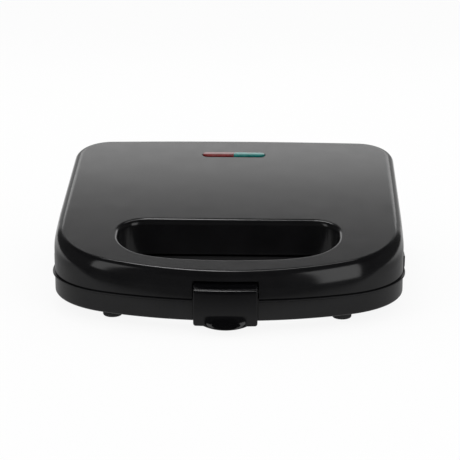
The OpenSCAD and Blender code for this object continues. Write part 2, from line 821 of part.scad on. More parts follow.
module red_lens() { color([0.62, 0.05, 0.06]) placed() half_lens(-1); }
module green_lens() { color([0.03, 0.45, 0.3]) placed() half_lens(1); }

lamp_r = 2.6;
lamp_drop = 8;

module lamp(side) {
    on_lens() {
        rod_x(lamp_r, side * 12 - 6, side * 12 + 6, 0, -lamp_drop);
        rod_x(0.5, side > 0 ? 17.9 : -20, side > 0 ? 20 : -17.9, 0, -lamp_drop);
    }
}

module red_lamp() { color("orange") placed() lamp(-1); }
module green_lamp() { color("palegreen") placed() lamp(1); }

module lamp_holder() {
    holder_x = lens_w / 2 + 3;
    holder_y = lens_d / 2 + 2.4;
    color([0.9, 0.9, 0.86]) placed() on_lens() difference() {
        block([-holder_x, -holder_y, -13], [holder_x, holder_y, lens_flange_z - 0.05]);
        block([-holder_x + 1.4, -holder_y + 1.4, -lamp_drop - 2],
              [holder_x - 1.4, holder_y - 1.4, 1]);
        for (s = [-1, 1])
            rod_x(lamp_r + 0.05, s * 12 - 6.1, s * 12 + 6.1, 0, -lamp_drop);
    }
}

// --- Latch ----------------------------------------------------------------------------

module latch_pin() {
    color(steel) placed()
        rod_x(latch_pin_r, -recess_half - wall * 0.6, recess_half + wall * 0.6,
              latch_pin_y, latch_pin_z);
}

latch_bottom = bottom_z - 0.4;
hook_t = 1.6;
shoulder_r = 4.8;
hook_reach = base_recess_y + 5;
tab_drop = 4;
face_corner_r = 1.5;

module latch() {
    half = latch_w / 2;
    low = latch_bottom - hook_t;
    face_r = front_r + latch_proud;
    tab_depth = tab_proud + 0.5;
    tab_r = (pow(tab_w / 2, 2) + pow(tab_depth, 2)) / (2 * tab_depth);
    color(black_shell) placed() difference() {
        union() {
            // Face plate and shoulder, bowed like the front
            intersection() {
                along_x([[0.6, low], [0.6, latch_pin_z - 6.5],
                         [3.4, latch_pin_z - 3.5], [latch_pin_y, latch_pin_z],
                         [latch_pin_y - 2.4, latch_pin_z + 4.16],
                         [latch_pin_y - 4.16, latch_pin_z + 2.4],
                         [-1, latch_pin_z + 0.2], [-latch_proud - 1, latch_pin_z - 2],
                         [-latch_proud - 1, low]], -half, half);
                translate([0, front_r, 0]) cylinder(r = face_r, h = 60, $fn = 96);
                // Round lower corners
                translate([0, 60, 0]) rotate([90, 0, 0]) linear_extrude(80) {
                    translate([-half, low + face_corner_r]) square([latch_w, 40]);
                    translate([-half + face_corner_r, low])
                        square([latch_w - 2 * face_corner_r, 10]);
                    for (s = [-1, 1])
                        translate([s * (half - face_corner_r), low + face_corner_r])
                            circle(r = face_corner_r);
                }
            }
            // Knuckle round the pin, with its shoulder cut off behind
            intersection() {
                rod_x(shoulder_r, -half, half, latch_pin_y, latch_pin_z);
                along_x([[-10, 10], [latch_pin_y, 10], [latch_pin_y, 60], [-10, 60]],
                        -half, half);
                translate([-half, 0, latch_pin_z - 3]) cube([latch_w, 60, 20]);
            }
            rod_x(2.9, -half, half, latch_pin_y, latch_pin_z);
            // Hook under the base
            block([-tab_w / 2, -1, low], [tab_w / 2, hook_reach, latch_bottom]);
            // Thumb tab
            intersection() {
                along_x([[0.6, 16], [-1.5, 16], [-tab_proud - 1, 7], [-tab_proud - 1, 0],
                         [-tab_proud + 3, 2], [0.6, low]],
                        -tab_w / 2, tab_w / 2);
                translate([0, tab_r - tab_proud, 0]) cylinder(r = tab_r, h = 40, $fn = 96);
                translate([0, 30, tab_drop + 30]) rotate([90, 0, 0])
                    cylinder(r = 30, h = 60, $fn = 96);
            }
        }
        rod_x(latch_pin_r + 0.05, -half - 1, half + 1, latch_pin_y, latch_pin_z);
    }
}

// --- Pieces drawn -------------------------------------------------------------------

lower_housing();
lower_plate();
lower_heating_element();
lower_element_supports();
lower_reflector();
lower_plate_screws();
lower_thermal_fuse();
terminal_block();
cord_inlet_bushing();
lower_wiring();
front_left_foot();
front_right_foot();
back_left_foot();
back_right_foot();
left_hinge_pin();
right_hinge_pin();
upper_housing();
upper_plate();
upper_heating_element();
upper_element_supports();
upper_reflector();
upper_plate_screws();
thermostat();
upper_thermal_fuse();
red_lens();
green_lens();
red_lamp();
green_lamp();
lamp_holder();
upper_wiring();
latch_pin();
latch();
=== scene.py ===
# %% [markdown]
# # A countertop sandwich toaster
# This lesson dresses the solid model of a two-slice sandwich toaster. The model is
# loaded and stays where it is. Then come camera, light and finishes, and after them
# the pieces, from the big shells to the small screws.

# %% Load the solid model
import json
import math
import bpy
import bmesh
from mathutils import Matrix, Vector

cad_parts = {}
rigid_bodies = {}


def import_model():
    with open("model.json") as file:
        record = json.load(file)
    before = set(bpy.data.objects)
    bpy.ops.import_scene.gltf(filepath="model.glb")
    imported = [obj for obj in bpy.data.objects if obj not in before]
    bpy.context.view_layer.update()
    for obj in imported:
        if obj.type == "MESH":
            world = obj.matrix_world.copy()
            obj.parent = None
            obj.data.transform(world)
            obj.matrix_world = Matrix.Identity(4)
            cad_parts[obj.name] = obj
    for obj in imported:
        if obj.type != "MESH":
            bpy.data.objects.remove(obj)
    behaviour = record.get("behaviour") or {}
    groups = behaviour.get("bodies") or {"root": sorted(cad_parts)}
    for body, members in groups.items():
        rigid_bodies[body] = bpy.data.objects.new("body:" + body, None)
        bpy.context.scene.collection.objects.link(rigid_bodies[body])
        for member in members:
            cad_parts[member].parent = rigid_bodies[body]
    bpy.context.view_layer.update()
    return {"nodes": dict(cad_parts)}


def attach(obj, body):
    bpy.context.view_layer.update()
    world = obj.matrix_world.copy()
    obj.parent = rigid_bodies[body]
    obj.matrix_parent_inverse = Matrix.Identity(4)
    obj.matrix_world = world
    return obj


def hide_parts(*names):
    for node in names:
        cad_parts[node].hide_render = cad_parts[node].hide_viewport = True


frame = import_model()
nodes = frame["nodes"]

# %% [markdown]
# ## Sizes
# Drawings of small appliances are in millimetres, and Blender works in metres, so one
# factor turns one into the other. Depth is measured back from the front of the seam
# lip, and MIDDLE moves it to the origin under the middle of the toaster. A closed
# toaster shows less of a gap at its seam than the solids have, so SEEN_GAP is smaller.

# %% Sizes of the body, in millimetres
MM = 0.001
MIDDLE = 112.25
HALF_W, DEPTH = 115.0, 220.0
FRONT_R, CORNER_R, BACK_CORNER_R, BACK_R = 206.0, 59.0, 27.0, 2200.0
BOTTOM_Z, WALL, SEAM_Z, CHAMBER_RISE = 7.0, 2.4, 21.0, 6.3
SEAM_GAP, SEEN_GAP = 0.5, 0.15
CHAMBER_Z = SEAM_Z + CHAMBER_RISE
TOP_FRONT_Z, TOP_SLOPE = 37.3, math.radians(9.43)
EDGE_R, EDGE_TALL = 6.5, 14.5
OPEN_BACK = 79.5
STEP = (OPEN_BACK - 2.5, OPEN_BACK)
JOINT_Z = CHAMBER_Z + SEAM_GAP / 2
print("seam at", SEAM_Z, "and", CHAMBER_Z, "mm")

# %% [markdown]
# ## Camera
# The camera stands a good metre in front, a little right of the middle, and looks down
# by about 16 degrees. Its long lens keeps the front and the back of the body nearly the
# same size, as product pictures like to have it.

# %% Camera
scene = bpy.context.scene


def add_object(name, data):
    """Puts data into the scene as an object."""
    made = bpy.data.objects.new(name, data)
    scene.collection.objects.link(made)
    return made


camera_data = bpy.data.cameras.new("camera")
camera_data.sensor_width = 36.0
camera_data.lens = 137.08
camera = add_object("camera", camera_data)
camera.location = (0.03308, -1.13764, 0.35587)
camera.rotation_euler = (math.radians(90 - 15.757), math.radians(-0.046), math.radians(1.702))
scene.camera = camera
scene.view_settings.view_transform = "Standard"
print("camera distance to the body:", round(camera.location.length, 3), "m")

# %% [markdown]
# ## Node helpers
# Every finish and the world are small node trees. The first two helpers add one node,
# set its inputs and link sockets into them, so that a tree reads from top to bottom. A
# kind is named without ShaderNode or GeometryNode before it, because the tree says
# which. The others calculate with values on their way through a tree.

# %% Helpers for nodes
def wire(tree, node, **inputs):
    """Sets inputs of a node to values, or links sockets into them."""
    for name, value in inputs.items():
        socket = node.inputs[int(name[1:]) if name[0] == "_" else name.replace("_", " ")]
        if isinstance(value, bpy.types.NodeSocket):
            tree.links.new(value, socket)
        else:
            socket.default_value = value


def add_node(tree, kind, settings=(), **inputs):
    """Adds a node. Settings are its own properties; inputs are values or sockets."""
    made = tree.nodes.new(tree.bl_idname.replace("Tree", kind))
    for name, value in dict(settings).items():
        setattr(made, name, value)
    wire(tree, made, **inputs)
    return made


def math_node(tree, operation, *values):
    """Calculates with sockets and numbers."""
    numbered = {f"_{k}": value for k, value in enumerate(values)}
    return add_node(tree, "Math", {"operation": operation}, **numbered).outputs[0]


def range_node(tree, value, low, high, to_low, to_high, smooth=False):
    """Maps a value from one range to another and clamps it."""
    kind = {"interpolation_type": "SMOOTHSTEP" if smooth else "LINEAR"}
    return add_node(tree, "MapRange", kind, Value=value, From_Min=low, From_Max=high,
                    To_Min=to_low, To_Max=to_high).outputs[0]


def ramp_node(tree, value, stops):
    """Leads a value through a chain of (value, result) stops."""
    low, high = stops[0][0], stops[-1][0]
    share = range_node(tree, value, low, high, 0.0, 1.0)
    ramp = add_node(tree, "ValToRGB", Fac=share)
    marks = ramp.color_ramp.elements
    for place, _ in stops[1:-1]:
        marks.new((place - low) / (high - low))
    for mark, (_, level) in zip(marks, stops):
        mark.color = (level, level, level, 1)
    return ramp.outputs[0]


def straight_rays(tree, ray):
    """1 for what the camera sees, also through glass, and 0 for all other light."""
    return math_node(tree, "MAXIMUM", ray.outputs["Is Camera Ray"],
                     ray.outputs["Is Transmission Ray"])

# %% [markdown]
# ## Light
# A black gloss body shows mostly what it mirrors. In a studio that is a pale screen
# low behind it, and a dim room above and around. The world gives the mirror image
# these zones, lights matt surfaces evenly, and is plain white behind the toaster.

# %% World
world = bpy.data.worlds.new("studio")
world.use_nodes = True
scene.world = world
tree = world.node_tree
tree.nodes.clear()
direction = add_node(tree, "TexCoord").outputs["Generated"]
axes = add_node(tree, "SeparateXYZ", Vector=direction)
aside = math_node(tree, "ABSOLUTE", axes.outputs["X"])
behind = math_node(tree, "MULTIPLY_ADD", aside, -1.75, axes.outputs["Y"])
height = range_node(tree, axes.outputs["Z"], 0.53, 0.66, 0.52, 0.05, smooth=True)
width = ramp_node(tree, behind, [(-0.6, 0.08), (-0.1, 0.22), (0.1, 1.0)])
mirrored = math_node(tree, "MULTIPLY", height, width)
plain, mirror, white = [
    add_node(tree, "Background", Color=(1, 1, 1, 1), Strength=strength).outputs[0]
    for strength in (0.75, mirrored, 1.0)]
ray = add_node(tree, "LightPath")
glossy = add_node(tree, "MixShader", _0=ray.outputs["Is Glossy Ray"], _1=plain, _2=mirror)
seen = add_node(tree, "MixShader", _0=straight_rays(tree, ray), _1=glossy.outputs[0],
                _2=white)
add_node(tree, "OutputWorld", Surface=seen.outputs[0])
print("world nodes:", len(tree.nodes))

# %% [markdown]
# Soft boxes draw the highlights: one on each side in front for the walls, a strip
# above each shoulder for the upper edges, and a low one behind for the top. Each is an
# area lamp that faces the middle of the body.

# %% Lamps
def soft_box(name, place, size, power):
    """A rectangular lamp that faces the toaster."""
    data = bpy.data.lights.new(name, "AREA")
    data.shape = "RECTANGLE"
    data.size, data.size_y = size
    data.energy = power
    lamp = add_object(name, data)
    lamp.location = place
    aim = Vector((0, 0, 0.03)) - lamp.location
    lamp.rotation_euler = aim.to_track_quat("-Z", "Y").to_euler()


soft_box("left_box", (-0.825, -0.58, 0.68), (0.33, 0.75), 1.0)
soft_box("right_box", (0.76, -0.78, 0.45), (0.52, 0.9), 2.1)
soft_box("top_left_box", (-0.15, 0.25, 1.1), (0.14, 0.55), 1.7)
soft_box("top_right_box", (0.17, 0.22, 1.1), (0.14, 0.5), 0.6)
soft_box("back_box", (0.0, 0.8, 0.455), (0.9, 0.16), 0.6)

# %% [markdown]
# ## Floor
# The floor is white paper. It takes the shadow of the body as matt paper does, and adds
# some of its own white to what the camera sees, so that it joins the background without
# an edge. Gloss mirrors it dimmer, through a painted shade in the floor's own light: darkest
# a little in front of the body, as if the paper stood in the body's shade, and brighter behind
# it.

# %% Floor
floor_mesh = bpy.data.meshes.new("floor")
reach = 3.0
corners = [(x * reach, y * reach, 0) for x, y in ((-1, -1), (1, -1), (1, 1), (-1, 1))]
floor_mesh.from_pydata(corners, [], [(0, 1, 2, 3)])
floor = add_object("floor", floor_mesh)
paper_white = bpy.data.materials.new("paper_white")
paper_white.use_nodes = True
tree = paper_white.node_tree
tree.nodes.clear()
ray = add_node(tree, "LightPath")
matt = add_node(tree, "BsdfDiffuse", Color=(0.9, 0.9, 0.9, 1))
place = add_node(tree, "TexCoord").outputs["Object"]
depth = add_node(tree, "SeparateXYZ", Vector=place).outputs["Y"]
# Painted shade: the floor's own light, as gloss sees it, is darkest in front of the body.
painted_shade_level = ramp_node(tree, depth, [(-0.20, 0.03), (-0.14, 0.38), (0.0, 0.28), (0.05, 0.30),
                                 (0.20, 0.80)])
level = add_node(tree, "Mix", {"data_type": "FLOAT"}, _0=ray.outputs["Is Glossy Ray"],
                 _2=1.0, _3=painted_shade_level)
own = add_node(tree, "Emission", Color=(1, 1, 1, 1), Strength=level.outputs[0])
share = math_node(tree, "MAXIMUM", math_node(tree, "MULTIPLY", straight_rays(tree, ray), 0.9),
                  math_node(tree, "MULTIPLY", ray.outputs["Is Glossy Ray"], 0.95))
both = add_node(tree, "MixShader", _0=share, _1=matt.outputs[0], _2=own.outputs[0])
add_node(tree, "OutputMaterial", Surface=both.outputs[0])
floor_mesh.materials.append(paper_white)
print("floor:", 2 * reach, "m square")

# %% [markdown]
# ## Finishes
# The shells are black moulded plastic with a satin top and glossier sides, which the
# mould's polish reaches best. Even a polished mould leaves a very fine grain, and the
# plastic shrinks a little as it cools, so the mirror image wavers. Both are bump, far
# too fine to model.

# %% Helper for a finish
def finish(name, colour, roughness, metallic=0.0, ior=1.5):
    """A material with one Principled shader. Returns it with its tree and shader."""
    made = bpy.data.materials.new(name)
    made.use_nodes = True
    made.diffuse_color = (*colour, 1)
    shader = made.node_tree.nodes["Principled BSDF"]
    wire(made.node_tree, shader, Base_Color=(*colour, 1), Roughness=roughness,
         Metallic=metallic, IOR=ior)
    return made, made.node_tree, shader


def noise_on(tree, scale, detail=2.0, stretch=(1, 1, 1)):
    """Noise that is fixed to the piece. Scale counts bumps per metre."""
    place = add_node(tree, "TexCoord").outputs["Object"]
    if stretch != (1, 1, 1):
        place = add_node(tree, "Mapping", Vector=place, Scale=stretch).outputs[0]
    return add_node(tree, "TexNoise", Vector=place, Scale=scale, Detail=detail).outputs["Fac"]


def vary_colour(tree, shader, value, dark, light):
    """Lets a value between 0.35 and 0.65 fade one colour into another."""
    ramp = add_node(tree, "ValToRGB", Fac=value)
    for mark, place, colour in zip(ramp.color_ramp.elements, (0.35, 0.65), (dark, light)):
        mark.position, mark.color = place, (*colour, 1)
    wire(tree, shader, Base_Color=ramp.outputs[0])


def add_bump(tree, shader, layers):
    """Stacks bump layers of (height, depth in metres) on a shader."""
    normal = None
    for height, depth in layers:
        bump = add_node(tree, "Bump", Strength=1.0, Distance=depth, Height=height)
        if normal is not None:
            wire(tree, bump, Normal=normal)
        normal = bump.outputs[0]
    wire(tree, shader, Normal=normal)

# %% Black plastics
def moulded_black(name, colour, satin, gloss, grain):
    """Moulded plastic, satin where it faces up and glossier on its sides."""
    made, tree, shader = finish(name, colour, satin)
    facing = add_node(tree, "TexCoord").outputs["Normal"]
    upward = add_node(tree, "SeparateXYZ", Vector=facing).outputs["Z"]
    blotch = range_node(tree, noise_on(tree, 90, 3), 0.3, 0.7, -0.015, 0.02)
    base = range_node(tree, upward, 0.80, 0.97, gloss, satin, smooth=True)
    wire(tree, shader, Roughness=math_node(tree, "ADD", base, blotch))
    lighter = tuple(1.35 * c for c in colour)
    vary_colour(tree, shader, noise_on(tree, 45, 4), colour, lighter)
    add_bump(tree, shader, [(noise_on(tree, 30, 1), 0.00005),
                            (noise_on(tree, 2600, 1), grain)])
    return made


SHELL = moulded_black("shell_black", (0.0046, 0.0046, 0.005), 0.17, 0.14, 0.000002)
LATCH = moulded_black("latch_black", (0.002, 0.002, 0.0024), 0.14, 0.13, 0.000002)
print("finishes:", SHELL.name, LATCH.name)

# %% [markdown]
# Rubber is dark and matt with a dusty grain. The non-stick coating is a baked film
# with pale flecks in it. Metals are bright, and brushed along one axis. Lamp lenses
# are clear coloured plastic, which looks deep and dark where it isn't lit.

# %% Rubber, coating and metals
def dull_rubber(name):
    made, tree, shader = finish(name, (0.02, 0.02, 0.021), 0.7)
    vary_colour(tree, shader, noise_on(tree, 300, 4), (0.015, 0.015, 0.016),
                (0.03, 0.03, 0.031))
    add_bump(tree, shader, [(noise_on(tree, 3500, 3), 0.00002)])
    return made


def nonstick(name):
    made, tree, shader = finish(name, (0.035, 0.035, 0.037), 0.42, metallic=0.25)
    flecks = add_node(tree, "TexVoronoi", Scale=1400.0,
                      Vector=add_node(tree, "TexCoord").outputs["Object"])
    fleck = range_node(tree, flecks.outputs["Distance"], 0.12, 0.3, 0.7, 0.45)
    vary_colour(tree, shader, fleck, (0.03, 0.03, 0.032), (0.16, 0.16, 0.165))
    rough = range_node(tree, noise_on(tree, 60, 3), 0.3, 0.7, 0.34, 0.48)
    wire(tree, shader, Roughness=rough)
    add_bump(tree, shader, [(noise_on(tree, 900, 3), 0.00003)])
    return made


def bright_metal(name, colour, roughness, stretch):
    made, tree, shader = finish(name, colour, roughness, metallic=1.0)
    darker = tuple(0.78 * c for c in colour)
    vary_colour(tree, shader, noise_on(tree, 120, 5), darker, colour)
    streaks = noise_on(tree, 900, 4, stretch)
    rough = range_node(tree, streaks, 0.3, 0.7, roughness * 0.75, roughness * 1.35)
    wire(tree, shader, Roughness=rough)
    add_bump(tree, shader, [(streaks, 0.00001)])
    return made


RUBBER = dull_rubber("foot_rubber")
COATING = nonstick("nonstick_coating")
METALS = [bright_metal(*row) for row in (
    ("pin_bright", (0.6, 0.6, 0.61), 0.26, (0.06, 1, 1)),
    ("pin_dark", (0.07, 0.07, 0.072), 0.4, (0.06, 1, 1)),
    ("screw_zinc", (0.58, 0.58, 0.57), 0.3, (1, 1, 0.2)),
    ("reflector_sheet", (0.72, 0.72, 0.71), 0.2, (0.04, 1, 1)),
    ("sheath_steel", (0.3, 0.27, 0.24), 0.42, (1, 1, 1)))]
PIN_STEEL, DARK_STEEL, SCREW_STEEL, SHEET, SHEATH = METALS
print("metals:", [metal.name for metal in METALS])

# %% Ceramics, wires and lenses
def pale_solid(name, dark, light, roughness, grain, depth):
    made, tree, shader = finish(name, light, roughness)
    vary_colour(tree, shader, noise_on(tree, grain, 4), dark, light)
    add_bump(tree, shader, [(noise_on(tree, grain * 3, 2), depth)])
    return made


def clear_colour(name, dark, light):
    made, tree, shader = finish(name, light, 0.16, ior=1.49)
    vary_colour(tree, shader, noise_on(tree, 160, 2), dark, light)
    wire(tree, shader, Coat_Weight=0.2, Coat_Roughness=0.08)
    add_bump(tree, shader, [(noise_on(tree, 700, 1), 0.00001)])
    return made


PALE = [pale_solid(*row) for row in (
    ("cream_ceramic", (0.62, 0.58, 0.49), (0.75, 0.71, 0.62), 0.5, 500, 0.00002),
    ("woven_sleeve", (0.6, 0.59, 0.54), (0.8, 0.79, 0.74), 0.8, 1500, 0.00006),
    ("wire_jacket", (0.66, 0.65, 0.62), (0.76, 0.75, 0.72), 0.4, 400, 0.00001),
    ("lamp_socket", (0.7, 0.7, 0.66), (0.78, 0.78, 0.75), 0.45, 250, 0.00002),
    ("neon_glass", (0.75, 0.52, 0.34), (0.85, 0.66, 0.48), 0.08, 200, 0.000004))]
CERAMIC, SLEEVE, INSULATION, HOLDER, LAMP_GLASS = PALE
RED = clear_colour("red_window", (0.11, 0.005, 0.006), (0.17, 0.009, 0.01))
GREEN = clear_colour("green_window", (0.0, 0.10, 0.09), (0.004, 0.16, 0.145))
print("pale finishes:", [pale.name for pale in PALE])

# %% [markdown]
# ## Dressing the solid pieces
# The solid pieces that nothing replaces have the right shape already and only need a
# finish. It is found by the end of a piece's name.

# %% Finishes on the solid pieces
FINISH_OF = {
    "housing": SHELL, "plate": COATING, "heating_element": SHEATH,
    "element_supports": SHEET, "reflector": SHEET, "plate_screws": SCREW_STEEL,
    "thermal_fuse": SLEEVE, "terminal_block": CERAMIC, "thermostat": CERAMIC,
    "cord_inlet_bushing": RUBBER, "wiring": INSULATION, "foot": RUBBER,
    "pin": PIN_STEEL, "red_lens": RED, "green_lens": GREEN, "lamp": LAMP_GLASS,
    "lamp_holder": HOLDER, "latch": LATCH, "latch_pin": DARK_STEEL}
for name, solid in nodes.items():
    ending = max((key for key in FINISH_OF if name.endswith(key)), key=len)
    solid.data.materials.clear()
    solid.data.materials.append(FINISH_OF[ending])
print("dressed:", len(nodes), "solid pieces")

# %% [markdown]
# ## The outline
# Seen from above the body is a ring of arcs: a bowed front, two wide front corners,
# straight sides, two tighter back corners and a nearly straight back. Each point of it
# is kept as the centre, radius and angle of its arc. A smaller ring then only needs
# shorter radii, and all rings have the same number of points, so they can be skinned.

# %% The outline as a list of arcs
def tangent_depth(big, small, half):
    """How far a small arc's centre lies from a big arc's centre, along the depth."""
    return math.sqrt((big - small) ** 2 - (half - small) ** 2)


def spread(count, start=0.0, end=1.0, first=True):
    """Evenly spaced values, with or without the first one."""
    return [start + (end - start) * k / count for k in range(0 if first else 1, count + 1)]


def unit(angle):
    """Cosine and sine of an angle in degrees."""
    return math.cos(math.radians(angle)), math.sin(math.radians(angle))


def arc_points(cx, cy, r, start, end, count):
    """Points on an arc, as pairs."""
    return [(cx + r * c, cy + r * s) for c, s in map(unit, spread(count, start, end))]


def extended(pairs, third):
    """Adds a third number to pairs."""
    return [(*pair, third) for pair in pairs]


def mirrored_columns(right):
    """Adds the left half. Points of the right half on the middle line aren't repeated."""
    cx, _, r, angle = right[-1]
    ends_on_middle = abs(cx + r * unit(angle)[0]) < 1e-6
    left = right[1:-1] if ends_on_middle else right[1:]
    return right + [(-cx, cy, r, 180 - a) for cx, cy, r, a in left[::-1]]


corner_y = FRONT_R - tangent_depth(FRONT_R, CORNER_R, HALF_W)
back_y = DEPTH - BACK_R + tangent_depth(BACK_R, BACK_CORNER_R, HALF_W)
front_turn = math.degrees(math.asin((HALF_W - CORNER_R) / (FRONT_R - CORNER_R)))
back_turn = math.degrees(math.asin((HALF_W - BACK_CORNER_R) / (BACK_R - BACK_CORNER_R)))
side_x = HALF_W - BACK_CORNER_R
right = [(0, FRONT_R, FRONT_R, -90 + a) for a in spread(22, 0, front_turn)]
right += [(HALF_W - CORNER_R, corner_y, CORNER_R, a)
          for a in spread(20, -90 + front_turn, 0, first=False)]
right += [(side_x, y, BACK_CORNER_R, 0)
          for y in spread(5, *STEP) + spread(6, STEP[1], back_y, first=False)[:-1]]
right += [(side_x, back_y, BACK_CORNER_R, a) for a in spread(16, 0, 90 - back_turn)]
right += [(0, DEPTH - BACK_R, BACK_R, a) for a in spread(6, 90 - back_turn, 90, first=False)]
BODY = mirrored_columns(right)
print("outline points:", len(BODY))

# %% [markdown]
# The finger opening is drawn in the same way. Its front edge is a chain of three arcs
# that bend more and more towards the corner, and its other edge is straight.

# %% The finger opening as a list of arcs
OPEN_FRONT, OPEN_HALF, OPEN_BACK_R = 22.3, 71.1, 17.0
MID_R, MID_TURN, SIDE_R, SIDE_TURN = 290.0, 5.9, 92.0, 18.5
mid_sine, side_sine = unit(MID_TURN)[1], unit(SIDE_TURN)[1]
OPEN_CORNER_R = ((OPEN_HALF - (MID_R - SIDE_R) * mid_sine - SIDE_R * side_sine)
                 / (1 - side_sine))


def next_centre(centre, r, following, turn):
    """The centre of an arc that goes on smoothly where the last one stops."""
    c, s = unit(turn)
    return (centre[0] + (r - following) * s, centre[1] - (r - following) * c)


middle = (0, OPEN_FRONT + MID_R)
side = next_centre(middle, MID_R, SIDE_R, MID_TURN)
corner = next_centre(side, SIDE_R, OPEN_CORNER_R, SIDE_TURN)
right = [(*middle, MID_R, a - 90) for a in spread(6, 0, MID_TURN)]
right += [(*side, SIDE_R, a - 90) for a in spread(8, MID_TURN, SIDE_TURN, first=False)]
right += [(*corner, OPEN_CORNER_R, a - 90) for a in spread(22, SIDE_TURN, 90, first=False)]
right += [(OPEN_HALF - OPEN_BACK_R, OPEN_BACK - OPEN_BACK_R, OPEN_BACK_R, a)
          for a in spread(14, 0, 90)]
OPENING = mirrored_columns(right)
print("opening points:", len(OPENING))

# %% Rings and skins
def clamp(share):
    return min(1.0, max(0.0, share))


def smooth_step(y, start=STEP[0], end=STEP[1]):
    """0 in front of a step, 1 behind it, with a soft change between."""
    t = clamp((y - start) / (end - start))
    return t * t * (3 - 2 * t)


def climbing(start, rise):
    """A value that changes with the seam's step, as a function of the depth."""
    return lambda y: start + rise * smooth_step(y)


def seam(offset=0.0):
    return climbing(SEAM_Z + offset, CHAMBER_RISE)


def top_z(y):
    return TOP_FRONT_Z + math.tan(TOP_SLOPE) * y


def ring(columns, inset, height):
    """One ring of points. Inset and height may be numbers or functions of the depth."""
    points = []
    for cx, cy, r, angle in columns:
        c, s = unit(angle)
        shrink = inset(cy + r * s) if callable(inset) else inset
        x, y = cx + (r - shrink) * c, cy + (r - shrink) * s
        points.append((x, y, height(y) if callable(height) else height))
    return points


def mesh_piece(name, points, faces, material=None):
    """A piece from points in millimetres, measured from the front of the lip."""
    mesh = bpy.data.meshes.new(name)
    mesh.from_pydata([(x * MM, (y - MIDDLE) * MM, z * MM) for x, y, z in points], [], faces)
    mesh.validate()
    if material:
        mesh.materials.append(material)
    return add_object(name, mesh)


def skin(name, rings, material=None, close=False):
    """A solid over a stack of rings, capped or joined into a loop, with faces outwards."""
    n = len(rings[0])
    layers = range(len(rings) if close else len(rings) - 1)
    faces = [(k * n + i, k * n + (i + 1) % n, (k + 1) % len(rings) * n + (i + 1) % n,
              (k + 1) % len(rings) * n + i) for k in layers for i in range(n)]
    if not close:
        faces += [tuple(range(n))[::-1], tuple((len(rings) - 1) * n + i for i in range(n))]
    piece = mesh_piece(name, [p for r in rings for p in r], faces, material)
    edit_mesh(piece, lambda work: bmesh.ops.recalc_face_normals(work, faces=work.faces))
    return piece


def edit_mesh(piece, change):
    """Opens a piece's mesh, changes it and writes it back."""
    work = bmesh.new()
    work.from_mesh(piece.data)
    change(work)
    work.to_mesh(piece.data)
    work.free()

# %% [markdown]
# ## Cutting and joining
# A moulded shell is easiest to build as a plain hollow body from which openings are
# cut and to which walls and posts are joined. The Boolean modifier does both. Its
# result is made a plain mesh at once, so that no helper object stays behind.

# %% Boolean helpers
def settle(piece):
    """Turns a piece with modifiers into a plain mesh."""
    ready = piece.evaluated_get(bpy.context.evaluated_depsgraph_get())
    mesh = bpy.data.meshes.new_from_object(ready)
    piece.modifiers.clear()
    old, piece.data = piece.data, mesh
    bpy.data.meshes.remove(old)
    mesh.name = piece.name


def combine(piece, others, operation):
    """Joins other solids to a piece, or cuts them out of it."""
    for other in others:
        change = piece.modifiers.new("change", "BOOLEAN")
        change.operation = operation
        change.solver = "EXACT"
        change.object = other
        settle(piece)
    for other in others:
        mesh = other.data
        bpy.data.objects.remove(other)
        bpy.data.meshes.remove(mesh)


def box_piece(x, half, y0, y1, z0, z1):
    """A box round a middle x, between two depths and two heights."""
    base = [(x - half, y0), (x + half, y0), (x + half, y1), (x - half, y1)]
    return skin("box", [extended(base, z0), extended(base, z1)])


def prism_x(profile, x0, x1):
    """A bar along X with a profile of (depth, height) points."""
    return skin("prism", [[(x, y, z) for y, z in profile] for x in (x0, x1)])


def circle(axis, radius, along, centre, count):
    """A circle round X, Y or Z. The centre is given by the two other coordinates."""
    points = []
    for k in range(count):
        t = 2 * math.pi * k / count
        across = [centre[0] + radius * math.cos(t), centre[1] + radius * math.sin(t)]
        across.insert("XYZ".index(axis), along)
        points.append(tuple(across))
    return points


def rod(axis, radius, start, end, centre, count=48):
    """A cylinder along an axis."""
    return skin("rod", [circle(axis, radius, along, centre, count) for along in (start, end)])


def clean(work):
    """Merges points that a cut left on top of each other, and counts open edges."""
    bmesh.ops.remove_doubles(work, verts=work.verts, dist=2e-6)
    bmesh.ops.dissolve_degenerate(work, edges=work.edges, dist=1e-6)
    loose = [e for e in work.edges if not e.link_faces]
    bmesh.ops.delete(work, geom=loose, context="EDGES")
    print("open edges:", sum(not e.is_manifold for e in work.edges))


def shade(piece, sharp):
    """Smooth shading that keeps real edges and flat faces."""
    edit_mesh(piece, clean)
    for face in piece.data.polygons:
        face.use_smooth = True
    piece.data.set_sharp_from_angle(angle=math.radians(sharp))
    weigh = piece.modifiers.new("weigh", "WEIGHTED_NORMAL")
    weigh.keep_sharp = True
    weigh.weight = 90
    settle(piece)


def report(piece):
    piece.data.calc_loop_triangles()
    print(piece.name, "has", len(piece.data.loop_triangles), "triangles")


def hand_over(piece, body, replaced, sharp=32):
    shade(piece, sharp)
    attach(piece, body)
    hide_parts(*replaced)
    report(piece)

# %% [markdown]
# ## Shell of the lid
# The lid is a wedge: its walls rise from a level seam to a top that slopes up to the
# back. One skin makes it, from the inside of the top down the inner wall, round the
# lower edge, and up the outer wall to the top. A rounding 6.5 mm wide leads from the
# wall over to the top. It is as tall as wide behind, and 14.5 mm tall in front.

# %% Skin of the lid
LID_INSET, BROW_INSET = 1.3, 1.4


def tall(y):
    """Height of the rounding, which is greatest in front."""
    return EDGE_TALL + (EDGE_R - EDGE_TALL) * smooth_step(y, 45, 95)


def quarter(count, thinner, rising=True):
    """Rings of the rounding between wall and top, or of one that lies deeper."""
    rings = []
    for c, s in map(unit, spread(count, 0, 90)):
        rings.append(ring(BODY, BROW_INSET + thinner + (EDGE_R - thinner) * (1 - c),
                          lambda y, s=s: top_z(y) - thinner - (tall(y) - thinner) * (1 - s)))
    return rings if rising else rings[::-1]


